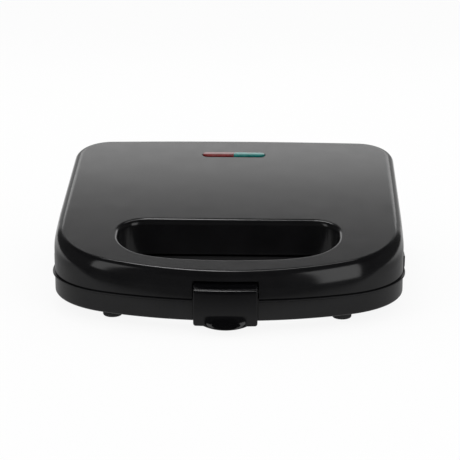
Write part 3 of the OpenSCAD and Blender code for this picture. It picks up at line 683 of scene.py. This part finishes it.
def lid_skin():
    lip = 0.35
    rings = quarter(6, WALL, rising=False)
    rings += [ring(BODY, LID_INSET + inset, seam(SEEN_GAP + rise)) for inset, rise in (
        (WALL, 0), (lip, 0), (0.3 * lip, 0.3 * lip), (0, lip))]
    rings += quarter(14, 0)
    return skin("lid_shell", rings, SHELL)


lid = lid_skin()
report(lid)

# %% [markdown]
# Inside the lid stand a wall round the finger opening, a wall in front of the cooking
# chamber, ribs that stiffen the grip, posts for the plate screws, and a pocket for the
# latch. They are joined one by one. Then the opening, the pocket, the lens slot and the
# holes are cut. The opening's upper edge is rolled, more at the back than in front.

# %% Inner walls, shared by lid and base
PLATE_Y0 = OPEN_BACK + WALL + 1.1
PLATE_W, PLATE_D, PLATE_T = 217.0, 126.0, 3.0
PLATE_Y1 = PLATE_Y0 + PLATE_D
FACE_GAP = 0.2
PLATE_BACK = FACE_GAP + PLATE_T
SCREWS = [(0, PLATE_Y0 + 15), (0, PLATE_Y1 - 6),
          (PLATE_W / 2 - 3.6, PLATE_Y0 + PLATE_D / 2),
          (-PLATE_W / 2 + 3.6, PLATE_Y0 + PLATE_D / 2)]
POST_R, PILOT_R, HEAD_SINK = 3.2, 1.42, 2.0
CROSS_X = 112.1
CHEEK_Y = 3.4
PIN_Y, PIN_Z = 6.5, 26.5
RECESS_HALF, CHEEK_T = 20.6, 3.2
POCKET_HALF = RECESS_HALF + CHEEK_T
RECESS_TOP = PIN_Z + 6
LID_POCKET_Y, BASE_POCKET_Y = PIN_Y + 3.7, 4.0
HINGE_Y, HINGE_Z, HINGE_X, KNUCKLE_R, KNUCKLE_W = 227.0, 31.0, 64.0, 5.5, 18.0
HINGE_PIN_R, LATCH_PIN_R, PUSH_FIT, RUNNING_FIT = 2.0, 1.25, 0.02, 0.06


def root_z(y):
    """Where the lid's inner walls and posts end, inside the thickness of its top."""
    return top_z(y) - 1.2


def grip_ribs(z0, z1):
    """Four ribs between the front wall and the wall of the opening."""
    ribs = []
    for x in (-58, -34, 34, 58):
        y0 = FRONT_R - math.sqrt(FRONT_R ** 2 - x * x) + CHEEK_Y
        ribs.append(box_piece(x, 0.8, y0, y0 + 18.3, z0, z1))
    return ribs


def latch_pocket(y, z0, z1, back_top):
    """Both side walls of the latch pocket and its back wall."""
    half = CHEEK_T / 2
    walls = [box_piece(s * (RECESS_HALF + half), half, CHEEK_Y + 1.1, y + WALL, z0, z1)
             for s in (-1, 1)]
    return walls + [box_piece(0, POCKET_HALF, y, y + WALL, z0, back_top)]


def opening_wall(low, high):
    """The wall round the opening, too thick on the side that is cut later."""
    return skin("tube", [ring(OPENING, -WALL, low), ring(OPENING, -WALL, high),
                         ring(OPENING, 1, high), ring(OPENING, 1, low)], close=True)


def rolled(y):
    """Radius of the opening's rolled edge, which grows towards the back."""
    return 1.8 + 1.7 * clamp((y - 40) / 40)


def opening_cutter():
    """The space of the finger opening, with its edge rolled at the top."""
    rings = [ring(OPENING, 0, -5)]
    for c, s in map(unit, spread(8, 0, 90)):
        rings.append(ring(OPENING, lambda y, c=c: -rolled(y) * (1 - c),
                          lambda y, s=s: top_z(y) - rolled(y) * (1 - s)))
    rings.append(ring(OPENING, lambda y: -rolled(y), lambda y: top_z(y) + 4))
    return skin("opening", rings)

# %% Lid: join the inner walls
parts = [opening_wall(seam(SEEN_GAP), root_z)]
low, high, side_top = SEAM_Z + 6.8, root_z(OPEN_BACK), top_z(OPEN_BACK) - 7
parts.append(skin("cross", [
    [(x, y, z) for x, z in ((-CROSS_X, low), (CROSS_X, low), (CROSS_X, side_top),
                            (CROSS_X - 5.5, high), (5.5 - CROSS_X, high), (-CROSS_X, side_top))]
    for y in (OPEN_BACK - 1, OPEN_BACK + WALL)]))
parts += grip_ribs(SEAM_Z + 2.5, RECESS_TOP + 1.5)
parts += latch_pocket(LID_POCKET_Y, SEAM_Z + 0.8, RECESS_TOP + 1.2, RECESS_TOP + 1.2)
parts.append(box_piece(0, POCKET_HALF, CHEEK_Y + 2.1, LID_POCKET_Y + WALL, RECESS_TOP,
                       RECESS_TOP + 1.2))
for x, y in SCREWS:
    parts += [rod("Z", radius, JOINT_Z + foot, root_z(y), (x, y))
              for radius, foot in ((POST_R, PLATE_BACK), (POST_R + 1.2, 20.8))]
combine(lid, parts, "UNION")
report(lid)

# %% Lid: cut the openings
LENS_X, LENS_Y, LENS_HALF, LENS_R = 0.0, 189.2, 22.1, 3.3


def on_lens(x, y, z):
    """A place on the sloping top, measured from the middle of the lens."""
    c, s = math.cos(TOP_SLOPE), math.sin(TOP_SLOPE)
    return (LENS_X + x, LENS_Y + y * c - z * s, top_z(LENS_Y) + y * s + z * c)


def stadium(grow, count=16):
    """A slot outline with round ends."""
    half, r = LENS_HALF - LENS_R, LENS_R + grow
    return [(side * (half + r * s), -side * r * c)
            for side in (1, -1) for c, s in map(unit, spread(count, 0, 180))]


def lens_slot():
    return skin("slot", [[on_lens(x, y, z) for x, y in stadium(grow)]
                         for grow, z in ((0.15, -6), (0.15, -0.35), (0.6, 0.1), (0.6, 3))])


cutters = [opening_cutter(), lens_slot(),
           box_piece(0, RECESS_HALF, -10, LID_POCKET_Y, 15, RECESS_TOP),
           rod("X", LATCH_PIN_R + PUSH_FIT, -POCKET_HALF + 0.8, POCKET_HALF - 0.8,
               (PIN_Y, PIN_Z), 32)]
cutters += [rod("Z", PILOT_R, JOINT_Z, JOINT_Z + 14, p, 24) for p in SCREWS]
combine(lid, cutters, "DIFFERENCE")
report(lid)

# %% [markdown]
# ## Hinge
# Two barrels on the lid turn between pairs of ears on the base. Each barrel stands on a
# lug that grows out of the lid's back wall. Profiles pushed along X make them, with a
# rounding where lug and barrel meet.

# %% Hinge pieces
def lug_profile():
    """From the lid's wall over the barrel and back under it."""
    root = DEPTH - 4.6
    under = CHAMBER_Z + SEAM_GAP + 0.4
    return [(root, under), (HINGE_Y - 2.6, under)] + arc_points(
        HINGE_Y, HINGE_Z, KNUCKLE_R, -123, 90, 28) + [(root, HINGE_Z + KNUCKLE_R)]


def ear_profile():
    """From the base's wall up round the pin."""
    root = DEPTH - 5.0
    return [(root, 12), (HINGE_Y - 5, 12)] + arc_points(
        HINGE_Y, HINGE_Z, KNUCKLE_R, -22, 180, 28) + [
        (HINGE_Y - KNUCKLE_R - 0.8, CHAMBER_Z - 0.2), (root, CHAMBER_Z - 0.2)]


def hinge_holes(radius, half):
    return [rod("X", radius, s * HINGE_X - half, s * HINGE_X + half, (HINGE_Y, HINGE_Z), 32)
            for s in (-1, 1)]


lugs = [prism_x(lug_profile(), s * HINGE_X - KNUCKLE_W / 2, s * HINGE_X + KNUCKLE_W / 2)
        for s in (-1, 1)]
combine(lid, lugs, "UNION")
combine(lid, hinge_holes(HINGE_PIN_R + RUNNING_FIT, 15), "DIFFERENCE")
hand_over(lid, "lid", ["upper_housing"])

# %% [markdown]
# ## Shell of the base
# The base is a shallow tray with the same outline. Its rim is a thin lip that stands
# out under the lid all round. Behind the grip the lip climbs a step to the level of the
# cooking plates, and stands out half a millimetre more there, to catch drips.

# %% Skin of the base
BASE_INSET, RIM_PROUD, LIP_T = 1.4, 0.5, 1.3


def base_skin():
    edge, soft = 1.8, 0.3
    rings = [ring(BODY, BASE_INSET + edge * (1 - c), BOTTOM_Z + edge * (1 - s))
             for c, s in map(unit, spread(6, 90, 0))]
    proud, softer, lip = climbing(0, -RIM_PROUD), climbing(soft, -RIM_PROUD), SEAM_Z - LIP_T
    rings += [ring(BODY, inset, height) for inset, height in (
        (BASE_INSET, climbing(lip - 0.4, 0.7)), (softer, climbing(lip, 0.8)),
        (proud, climbing(lip + soft, 0.8)), (proud, seam(-soft)), (softer, seam()),
        (BASE_INSET + WALL, seam()), (BASE_INSET + WALL, BOTTOM_Z + WALL))]
    return skin("base_shell", rings, SHELL)


base = base_skin()
report(base)

# %% [markdown]
# The underside has two rows of slots that let air in. One slot is drawn, and a small
# geometry node tree repeats it. The tree has the slot, the counts and the distances as
# named inputs. One helper starts it and one ends it. Its result only serves as a
# cutter for the base.

# %% Air slots, repeated by nodes
def start_tree(name, **inputs):
    """A geometry node tree with named inputs. Returns it with its input sockets."""
    group = bpy.data.node_groups.new(name, "GeometryNodeTree")
    for title, kind in inputs.items():
        group.interface.new_socket(title, in_out="INPUT", socket_type="NodeSocket" + kind)
    group.interface.new_socket("Geometry", in_out="OUTPUT", socket_type="NodeSocketGeometry")
    return group, group.nodes.new("NodeGroupInput").outputs


def end_tree(group, copies, finish):
    """Makes the copies real, gives them their finish and closes the tree."""
    real = add_node(group, "RealizeInstances", Geometry=copies)
    dressed = add_node(group, "SetMaterial", Geometry=real.outputs[0], Material=finish)
    wire(group, group.nodes.new("NodeGroupOutput"), Geometry=dressed.outputs[0])
    return group


def slot_grid_tree():
    """Copies a mesh onto a grid of points."""
    group, given = start_tree("slot_grid", Geometry="Geometry", Columns="Int", Rows="Int",
                              Width="Float", Height="Float", Centre="Vector", Finish="Material")
    grid = add_node(group, "MeshGrid", Size_X=given["Width"], Size_Y=given["Height"],
                    Vertices_X=given["Columns"], Vertices_Y=given["Rows"])
    moved = add_node(group, "SetPosition", Geometry=grid.outputs["Mesh"],
                     Offset=given["Centre"])
    copies = add_node(group, "InstanceOnPoints", Points=moved.outputs[0],
                      Instance=given["Geometry"])
    return end_tree(group, copies.outputs[0], given["Finish"])


def run_tree(piece, group, **values):
    """Runs a node tree on a piece with the given inputs, and keeps the plain result."""
    change = piece.modifiers.new("nodes", "NODES")
    change.node_group = group
    for item in group.interface.items_tree:
        key = item.name.replace(" ", "_")
        if item.in_out == "INPUT" and key in values:
            change[item.identifier] = values[key]
    settle(piece)


def air_slots():
    outline = (arc_points(0, MIDDLE + 11, 1.5, 0, 180, 8)
               + arc_points(0, MIDDLE - 11, 1.5, 180, 360, 8))
    slot = skin("air_slots", [extended(outline, z) for z in (
        BOTTOM_Z - 1, BOTTOM_Z + WALL + 1)], SHELL)
    run_tree(slot, slot_grid_tree(), Columns=9, Rows=2, Width=0.128, Height=0.038,
             Centre=(0, (147 - MIDDLE) * MM, 0), Finish=SHELL)
    return slot


slots = air_slots()
report(slots)

# %% Base: join the inner walls and the hinge ears
parts = [opening_wall(BOTTOM_Z + 0.5, seam()),
         box_piece(0, CROSS_X, OPEN_BACK - 0.3, OPEN_BACK + WALL, BOTTOM_Z + 1,
                   CHAMBER_Z - 0.05)]
parts += grip_ribs(BOTTOM_Z + 1, SEAM_Z - 2)
parts += latch_pocket(BASE_POCKET_Y, BOTTOM_Z + 1, SEAM_Z - 0.6, SEAM_Z - 4)
parts += [rod("Z", POST_R, BOTTOM_Z + 1, JOINT_Z - PLATE_BACK, p) for p in SCREWS]
EAR_W, HINGE_PLAY = 6.0, 0.3
for s in (-1, 1):
    for t in (-1, 1):
        x0 = s * HINGE_X + t * (KNUCKLE_W / 2 + HINGE_PLAY + EAR_W / 2) - EAR_W / 2
        parts.append(prism_x(ear_profile(), x0, x0 + EAR_W))
combine(base, parts, "UNION")
report(base)

# %% Base: cut the opening, the slots and the holes
FRONT_FOOT, BACK_FOOT = (73.0, 34.0), (85.0, 203.0)
FEET = [(s * x, y) for x, y in (FRONT_FOOT, BACK_FOOT) for s in (-1, 1)]
STUD_HOLE_R, STUD_R = 2.6, 2.55
INLET_X, INLET_Z, INLET_R = 40.0, 15.35, 4.6


def flared_cutter():
    """The opening through the base, with its lower edge rounded."""
    soft = 1.5
    rings = [ring(OPENING, -soft, BOTTOM_Z - 3)]
    rings += [ring(OPENING, -soft * (1 - s), BOTTOM_Z + soft * (1 - c))
              for c, s in map(unit, spread(6, 0, 90))]
    rings.append(ring(OPENING, 0, 60))
    return skin("flare", rings)


cutters = [flared_cutter(), slots,
           box_piece(0, RECESS_HALF, -10, BASE_POCKET_Y, BOTTOM_Z - 1, SEAM_Z + 1),
           rod("Y", INLET_R + 0.05, 205, 225, (INLET_X, INLET_Z)),
           box_piece(0, 30, 98, 112, BOTTOM_Z - 1, BOTTOM_Z + 0.4)]
cutters += [rod("Z", PILOT_R, BOTTOM_Z + WALL + 1, 40, p, 24) for p in SCREWS]
cutters += [rod("Z", STUD_HOLE_R, BOTTOM_Z - 1, BOTTOM_Z + 7, p, 24) for p in FEET]
cutters += hinge_holes(HINGE_PIN_R + PUSH_FIT, 20)
combine(base, cutters, "DIFFERENCE")
hand_over(base, "base", ["lower_housing"])

# %% [markdown]
# ## Latch
# The latch is one moulding: a shoulder round its pin, a bowed face that hangs in front
# of both shells, a hook that grips under the base, and a thumb tab. Its side profile is
# pushed along X in many narrow steps. Each step bends the profile a little: it follows
# the bow of the front, swells into the tab near the middle, and rounds off at the ends.

# %% Latch sizes
LATCH_HALF, TAB_HALF = 19.9, 13.5
FACE_PROUD, TAB_PROUD = 2.5, 8.0
LATCH_LOW, HOOK_TOP = 5.0, 6.6
TAB_TOP, TAB_FULL, TAB_SAG = 12.0, 6.0, 1.0
CORNER = 1.5
FACE_TOP = PIN_Z - 0.5


def tab_bulge(x):
    """How far the tab swells in front of the face, as an arc across its width."""
    depth = TAB_PROUD - FACE_PROUD
    r = (TAB_HALF ** 2 + depth ** 2) / (2 * depth)
    return math.sqrt(r * r - x * x) - (r - depth) if abs(x) < TAB_HALF else 0.0


def tab_swell(z):
    """0 above the tab, 1 at its lip, with a hollow between for the thumb."""
    t = clamp((TAB_TOP - z) / (TAB_TOP - TAB_FULL))
    return t ** 1.7 * (1 - 0.35 * (1 - t))


def latch_profile():
    """Points (depth, height, share of the swelling) round the side of the latch."""
    soft = 0.8
    front = extended(arc_points(-FACE_PROUD + soft, LATCH_LOW + soft, soft, 270, 180, 5), 1.0)
    face = [(-FACE_PROUD, z, tab_swell(z))
            for z in spread(44, LATCH_LOW + soft, FACE_TOP, first=False)]
    over = [(-2.3, FACE_TOP + 0.9), (-1.8, FACE_TOP + 1.5), (-1.0, FACE_TOP + 1.9),
            (0.2, FACE_TOP + 2.25)] + arc_points(PIN_Y, PIN_Z, 4.8, 150, 93, 10)
    behind = ([(PIN_Y + 0.3, PIN_Z + 4.5), (PIN_Y + 0.4, PIN_Z + 3.2)]
              + arc_points(PIN_Y, PIN_Z, 2.9, 75, -90, 14)
              + [(3.4, PIN_Z - 3.5), (0.9, PIN_Z - 6.2), (0.6, PIN_Z - 7), (0.6, 14),
                 (0.6, 10), (0.6, HOOK_TOP), (0.6, LATCH_LOW)])
    under = [(-0.2, LATCH_LOW, 0.2), (-0.9, LATCH_LOW, 0.55), (-1.4, LATCH_LOW, 0.85)]
    return front + face + extended(over + behind, 0.0) + under


def latch_slice(x, profile):
    """The profile at one place across the latch."""
    edge, soft = LATCH_HALF - abs(x), 0.7
    inset = lift = 0.0
    if edge < soft:
        inset = soft - math.sqrt(max(0.0, soft ** 2 - (soft - edge) ** 2))
    corner = abs(x) - (LATCH_HALF - CORNER)
    if corner > 0:
        lift = CORNER - math.sqrt(CORNER ** 2 - min(corner, CORNER - 0.01) ** 2)
    bulge, reach = tab_bulge(x), LATCH_LOW + 2 * CORNER
    sag = TAB_SAG * bulge / (TAB_PROUD - FACE_PROUD)
    placed = []
    for k, (y, z, share) in enumerate(profile):
        before, after = profile[k - 1], profile[(k + 1) % len(profile)]
        along = Vector((after[0] - before[0], after[1] - before[1])).normalized()
        y, z = y + inset * along.y, z - inset * along.x
        bow = (x * x / (2 * (FRONT_R + FACE_PROUD)) * clamp((PIN_Z + 3 - z) / 3.5)
               * clamp((4 - y) / 3))
        z += lift * max(0.0, reach - z) / (reach - LATCH_LOW)
        z -= sag * share * clamp((TAB_TOP - z) / 9)
        placed.append((x, y + bow - share * bulge, z))
    return placed


def hook_ring(soft, z):
    """The hook's outline at one height, drawn in by its softness."""
    half, tip = TAB_HALF - soft, 9 - soft
    return extended(((-half, -0.5), (half, -0.5), (half, tip - 0.4), (half - 0.6, tip),
                     (0.6 - half, tip), (-half, tip - 0.4)), z)


def make_latch():
    inner = spread(29, -TAB_HALF, TAB_HALF)
    side = [TAB_HALF + 0.4] + [LATCH_HALF - d for d in (
        4, 2.6, 1.6, 1.3, 1.0, 0.7, 0.5, 0.32, 0.18, 0.08, 0.02, 0)]
    stations = [-x for x in side[::-1]] + inner + side
    profile = latch_profile()
    piece = skin("latch_moulding", [latch_slice(x, profile) for x in stations], LATCH)
    levels = ((0.4, LATCH_LOW + 0.02), (0.0, LATCH_LOW + 0.4), (0.0, HOOK_TOP - 0.4),
              (0.4, HOOK_TOP))
    combine(piece, [skin("hook", [hook_ring(c, z) for c, z in levels])], "UNION")
    return piece


latch = make_latch()
hand_over(latch, "latch", ["latch"], sharp=40)

# %% [markdown]
# ## Cooking plates
# Each plate is an aluminium casting with four triangular pockets, which press and cut
# two sandwiches. A pocket is a stack of shrinking triangles with round corners. The
# stack first rolls over the edge, then runs down a drafted wall and into the floor.

# %% Pocket rings
RIDGE_IN, DIVIDER, SKIN = 1.925, 5.5, 1.8
SQUARE_X, SQUARE_Y0, SQUARE_Y1 = PLATE_W / 2 - 7, PLATE_Y0 + 6, PLATE_Y1 - 6
TRIANGLES = [((s * DIVIDER, SQUARE_Y0), (s * SQUARE_X, a), (s * b, SQUARE_Y1))
             for s in (1, -1) for a, b in ((SQUARE_Y0, SQUARE_X), (SQUARE_Y1, DIVIDER))]


def pocket_ring(triangle, inset, radius, z, steps=8):
    """A triangle drawn in by an inset, with round corners, counter-clockwise."""
    points = [Vector(p) for p in triangle]
    if (points[1] - points[0]).cross(points[2] - points[0]) < 0:
        points.reverse()
    sides = [(points[1] - points[2]).length, (points[2] - points[0]).length,
             (points[0] - points[1]).length]
    middle = sum((length * p for length, p in zip(sides, points)), Vector((0, 0))) / sum(sides)
    area = abs((points[1] - points[0]).cross(points[2] - points[0])) / 2
    share = 1 - (inset + radius) * sum(sides) / (2 * area)
    shrunk = [middle + share * (p - middle) for p in points]
    result = []
    for k in range(3):
        arrive = shrunk[k] - shrunk[k - 1]
        leave = shrunk[(k + 1) % 3] - shrunk[k]
        start = math.degrees(math.atan2(arrive.y, arrive.x)) - 90
        turn = (math.degrees(math.atan2(leave.y, leave.x)) - 90 - start) % 360
        result += extended(arc_points(*shrunk[k], radius, start, start + turn, steps), z)
    return result


POCKET_FACE = [(-1.0, 8.0, 1.0), (-1.0, 8.0, -0.2), (-0.35, 7.4, -0.32), (0.15, 7.2, -0.7),
               (0.75, 7.0, -1.4), (4.5, 7.0, -5.6), (5.1, 6.8, -6.5), (5.9, 6.4, -7.3),
               (7.1, 5.6, -7.95), (8.6, 5.0, -8.2)]
POCKET_BACK = [(1.4, 7.0, -PLATE_BACK + 0.6), (1.4, 7.0, -PLATE_BACK - 0.3),
               (5.0, 7.0, -8.0), (6.2, 6.4, -9.3), (8.0, 5.4, -10.0)]

# %% Plates
def plate_ring(inset, z, front_r=6.0, back_r=22.0):
    """The plate's outline, with small corners in front and large ones behind."""
    x, points = PLATE_W / 2, []
    for cx, cy, r, start in ((x, PLATE_Y0, front_r, -90), (x, PLATE_Y1, back_r, 0),
                             (-x, PLATE_Y1, back_r, 90), (-x, PLATE_Y0, front_r, 180)):
        middle_x = cx - math.copysign(r, cx)
        middle_y = cy + (r if cy == PLATE_Y0 else -r)
        points += extended(arc_points(middle_x, middle_y, r - inset, start, start + 90, 12), z)
    return points


def make_plate(name, up, body):
    """A casting that faces up or down, with its face just off the joint plane."""
    soft = 0.7
    place = lambda rings: [[(x, y, JOINT_Z + up * z) for x, y, z in r] for r in rings]
    pockets = lambda inset, steps: [skin("pocket", place(
        pocket_ring(t, inset + i, r, z) for i, r, z in steps)) for t in TRIANGLES]
    slab = [plate_ring(inset, z) for inset, z in (
        (soft, -PLATE_BACK), (0, -PLATE_BACK + soft), (0, -FACE_GAP - soft),
        (0.3 * soft, -FACE_GAP - 0.3 * soft), (soft, -FACE_GAP))]
    piece = skin(name, place(slab), COATING)
    combine(piece, pockets(RIDGE_IN - SKIN, POCKET_BACK), "UNION")
    cutters = pockets(RIDGE_IN, POCKET_FACE)
    for p in SCREWS:
        cutters += [rod("Z", r, JOINT_Z - up * low, JOINT_Z + up * 5, p, count)
                    for r, low, count in ((1.55, PLATE_BACK + 1, 24), (2.8, HEAD_SINK, 32))]
    combine(piece, cutters, "DIFFERENCE")
    hand_over(piece, body, [name.replace("_casting", "")], sharp=38)


make_plate("lower_plate_casting", 1, "base")
make_plate("upper_plate_casting", -1, "lid")

# %% [markdown]
# ## Indicator lights
# One slot in the top holds a red and a green window, side by side. Each window is half
# of a slot shape with a rolled edge. It stands a little proud and is slightly domed.

# %% Lenses
def half_slot(side, grow, z):
    """Half of the slot outline, cut off flat at the middle."""
    half, r = LENS_HALF - LENS_R, LENS_R + grow
    points = [(0.05, -r)] + arc_points(half, 0, r, -90, 90, 16) + [(0.05, r)]
    return [on_lens(side * x, y, z) for x, y in (points if side > 0 else points[::-1])]


def make_lens(name, side, material):
    soft, proud = 0.45, 0.7
    levels = [(0.8, -3.45), (0.8, -2.5), (-0.1, -2.45), (-0.1, proud - soft)]
    levels += [(-0.1 - soft * (1 - c), proud - soft * (1 - s))
               for c, s in map(unit, spread(5, 0, 90, first=False))]
    levels += [(-1.6, proud + 0.08), (-2.6, proud + 0.11)]
    piece = skin(name + "_window", [half_slot(side, g, z) for g, z in levels], material)
    hand_over(piece, "lid", [name], sharp=35)


make_lens("red_lens", -1, RED)
make_lens("green_lens", 1, GREEN)

# %% [markdown]
# ## Small round pieces
# Feet, screws, pins and the cord bushing are turned shapes: a profile of radii swept
# round an axis. What comes in pairs or sets is turned once. A node tree then copies it
# to each of its places, which are the points of a small mesh.

# %% Turned pieces and copies
def turned(name, axis, profile, centre, material, count=40):
    """A solid of revolution from (radius, place along the axis) pairs."""
    rings = [circle(axis, radius, along, centre, count) for radius, along in profile]
    return skin(name, rings, material)


def copies_tree():
    """Puts a copy of a template on every point of the mesh that it runs on."""
    group, given = start_tree("copies_at_points", Points="Geometry", Template="Object",
                              Finish="Material")
    template = add_node(group, "ObjectInfo", Object=given["Template"])
    copies = add_node(group, "InstanceOnPoints", Points=given["Points"],
                      Instance=template.outputs["Geometry"])
    return end_tree(group, copies.outputs[0], given["Finish"])


COPIES = copies_tree()


def copied(name, template, places, body, replaced):
    """One piece with a copy of the template at each place. The template goes away."""
    piece = mesh_piece(name, places, [])
    run_tree(piece, COPIES, Template=template, Finish=template.data.materials[0])
    bpy.data.objects.remove(template)
    hand_over(piece, body, replaced, sharp=35)

# %% Feet
def foot_profile():
    """From the floor, round the lower edge and up into the base."""
    r, soft = 6.2, 1.2
    hollow = [(0.8, 0.9), (2.6, 0.9), (3.0, 0.6), (3.4, 0.05), (3.7, 0.0)]
    edge = arc_points(r - soft, soft, soft, -90, 0, 6)
    return hollow + edge + [(r + 0.1, 4.0), (r + 0.1, BOTTOM_Z), (STUD_R, BOTTOM_Z + 0.02),
                            (STUD_R, BOTTOM_Z + 3.2), (2.2, BOTTOM_Z + 3.6)]


for row, replaced in ((FEET[:2], ("front_left_foot", "front_right_foot")),
                      (FEET[2:], ("back_left_foot", "back_right_foot"))):
    foot = turned("foot", "Z", foot_profile(), (0, MIDDLE), RUBBER)
    copied(replaced[0].split("_")[0] + "_feet", foot, [(x, y, 0) for x, y in row],
           "base", replaced)

# %% Screws
def screw_template():
    """A pan-head screw that points down, with its head's underside at zero."""
    head = [(0.6, 1.5), (1.2, 1.46), (1.8, 1.3), (2.25, 1.0), (2.48, 0.6), (2.5, 0.2),
            (2.4, 0.0)]
    shank = [(1.4, -0.01)]
    for k in range(10):
        shank += [(1.18, -0.6 - 0.8 * k), (1.4, -1.0 - 0.8 * k)]
    screw = turned("screw", "Z", head + shank + [(0.5, -9.0)], (0, MIDDLE), SCREW_STEEL, 24)
    wings = [box_piece(0, a, MIDDLE - b, MIDDLE + b, 0.55, 3)
             for a, b in ((1.5, 0.3), (0.3, 1.5))]
    combine(screw, wings, "DIFFERENCE")
    return screw


for name, up, body in (("lower", 1, "base"), ("upper", -1, "lid")):
    screw = screw_template()
    if up < 0:
        for vertex in screw.data.vertices:
            vertex.co.z, vertex.co.x = -vertex.co.z, -vertex.co.x
    copied(name + "_screw_set", screw, [(x, y, JOINT_Z - up * HEAD_SINK) for x, y in SCREWS],
           body, (name + "_plate_screws",))

# %% Pins and bushing
def pin_profile(half, radius, soft):
    return [(radius - soft, -half), (radius, -half + soft), (radius, half - soft),
            (radius - soft, half)]


pin = turned("pin", "X", pin_profile(KNUCKLE_W / 2 + HINGE_PLAY + EAR_W, HINGE_PIN_R, 0.35),
             (MIDDLE, 0), PIN_STEEL)
copied("hinge_pin_pair", pin, [(s * HINGE_X, HINGE_Y, HINGE_Z) for s in (-1, 1)],
       "base", ("left_hinge_pin", "right_hinge_pin"))
pin = turned("pin", "X", pin_profile(22.8, LATCH_PIN_R, 0.2), (MIDDLE, 0), DARK_STEEL, 24)
copied("latch_pin_rod", pin, [(0, PIN_Y, PIN_Z)], "lid", ("latch_pin",))

inner_face, outer_face, flange, bore_r = 213.9, 220.2, INLET_R + 1.1, 3.6
bushing = turned("cord_bushing", "Y", [
    (bore_r, inner_face + 0.3), (3.9, inner_face), (flange - 0.3, inner_face),
    (flange, inner_face + 0.3), (flange, 215.5), (INLET_R, 215.55), (INLET_R, 218.35),
    (flange, 218.4), (flange, outer_face - 0.6), (flange - 0.25, outer_face - 0.2),
    (flange - 0.8, outer_face), (4.1, outer_face), (bore_r, outer_face - 0.5)],
    (INLET_X, INLET_Z), RUBBER)
bore = rod("Y", bore_r, inner_face - 1, outer_face + 1, (INLET_X, INLET_Z), 40)
combine(bushing, [bore], "DIFFERENCE")
hand_over(bushing, "base", ["cord_inlet_bushing"], sharp=35)
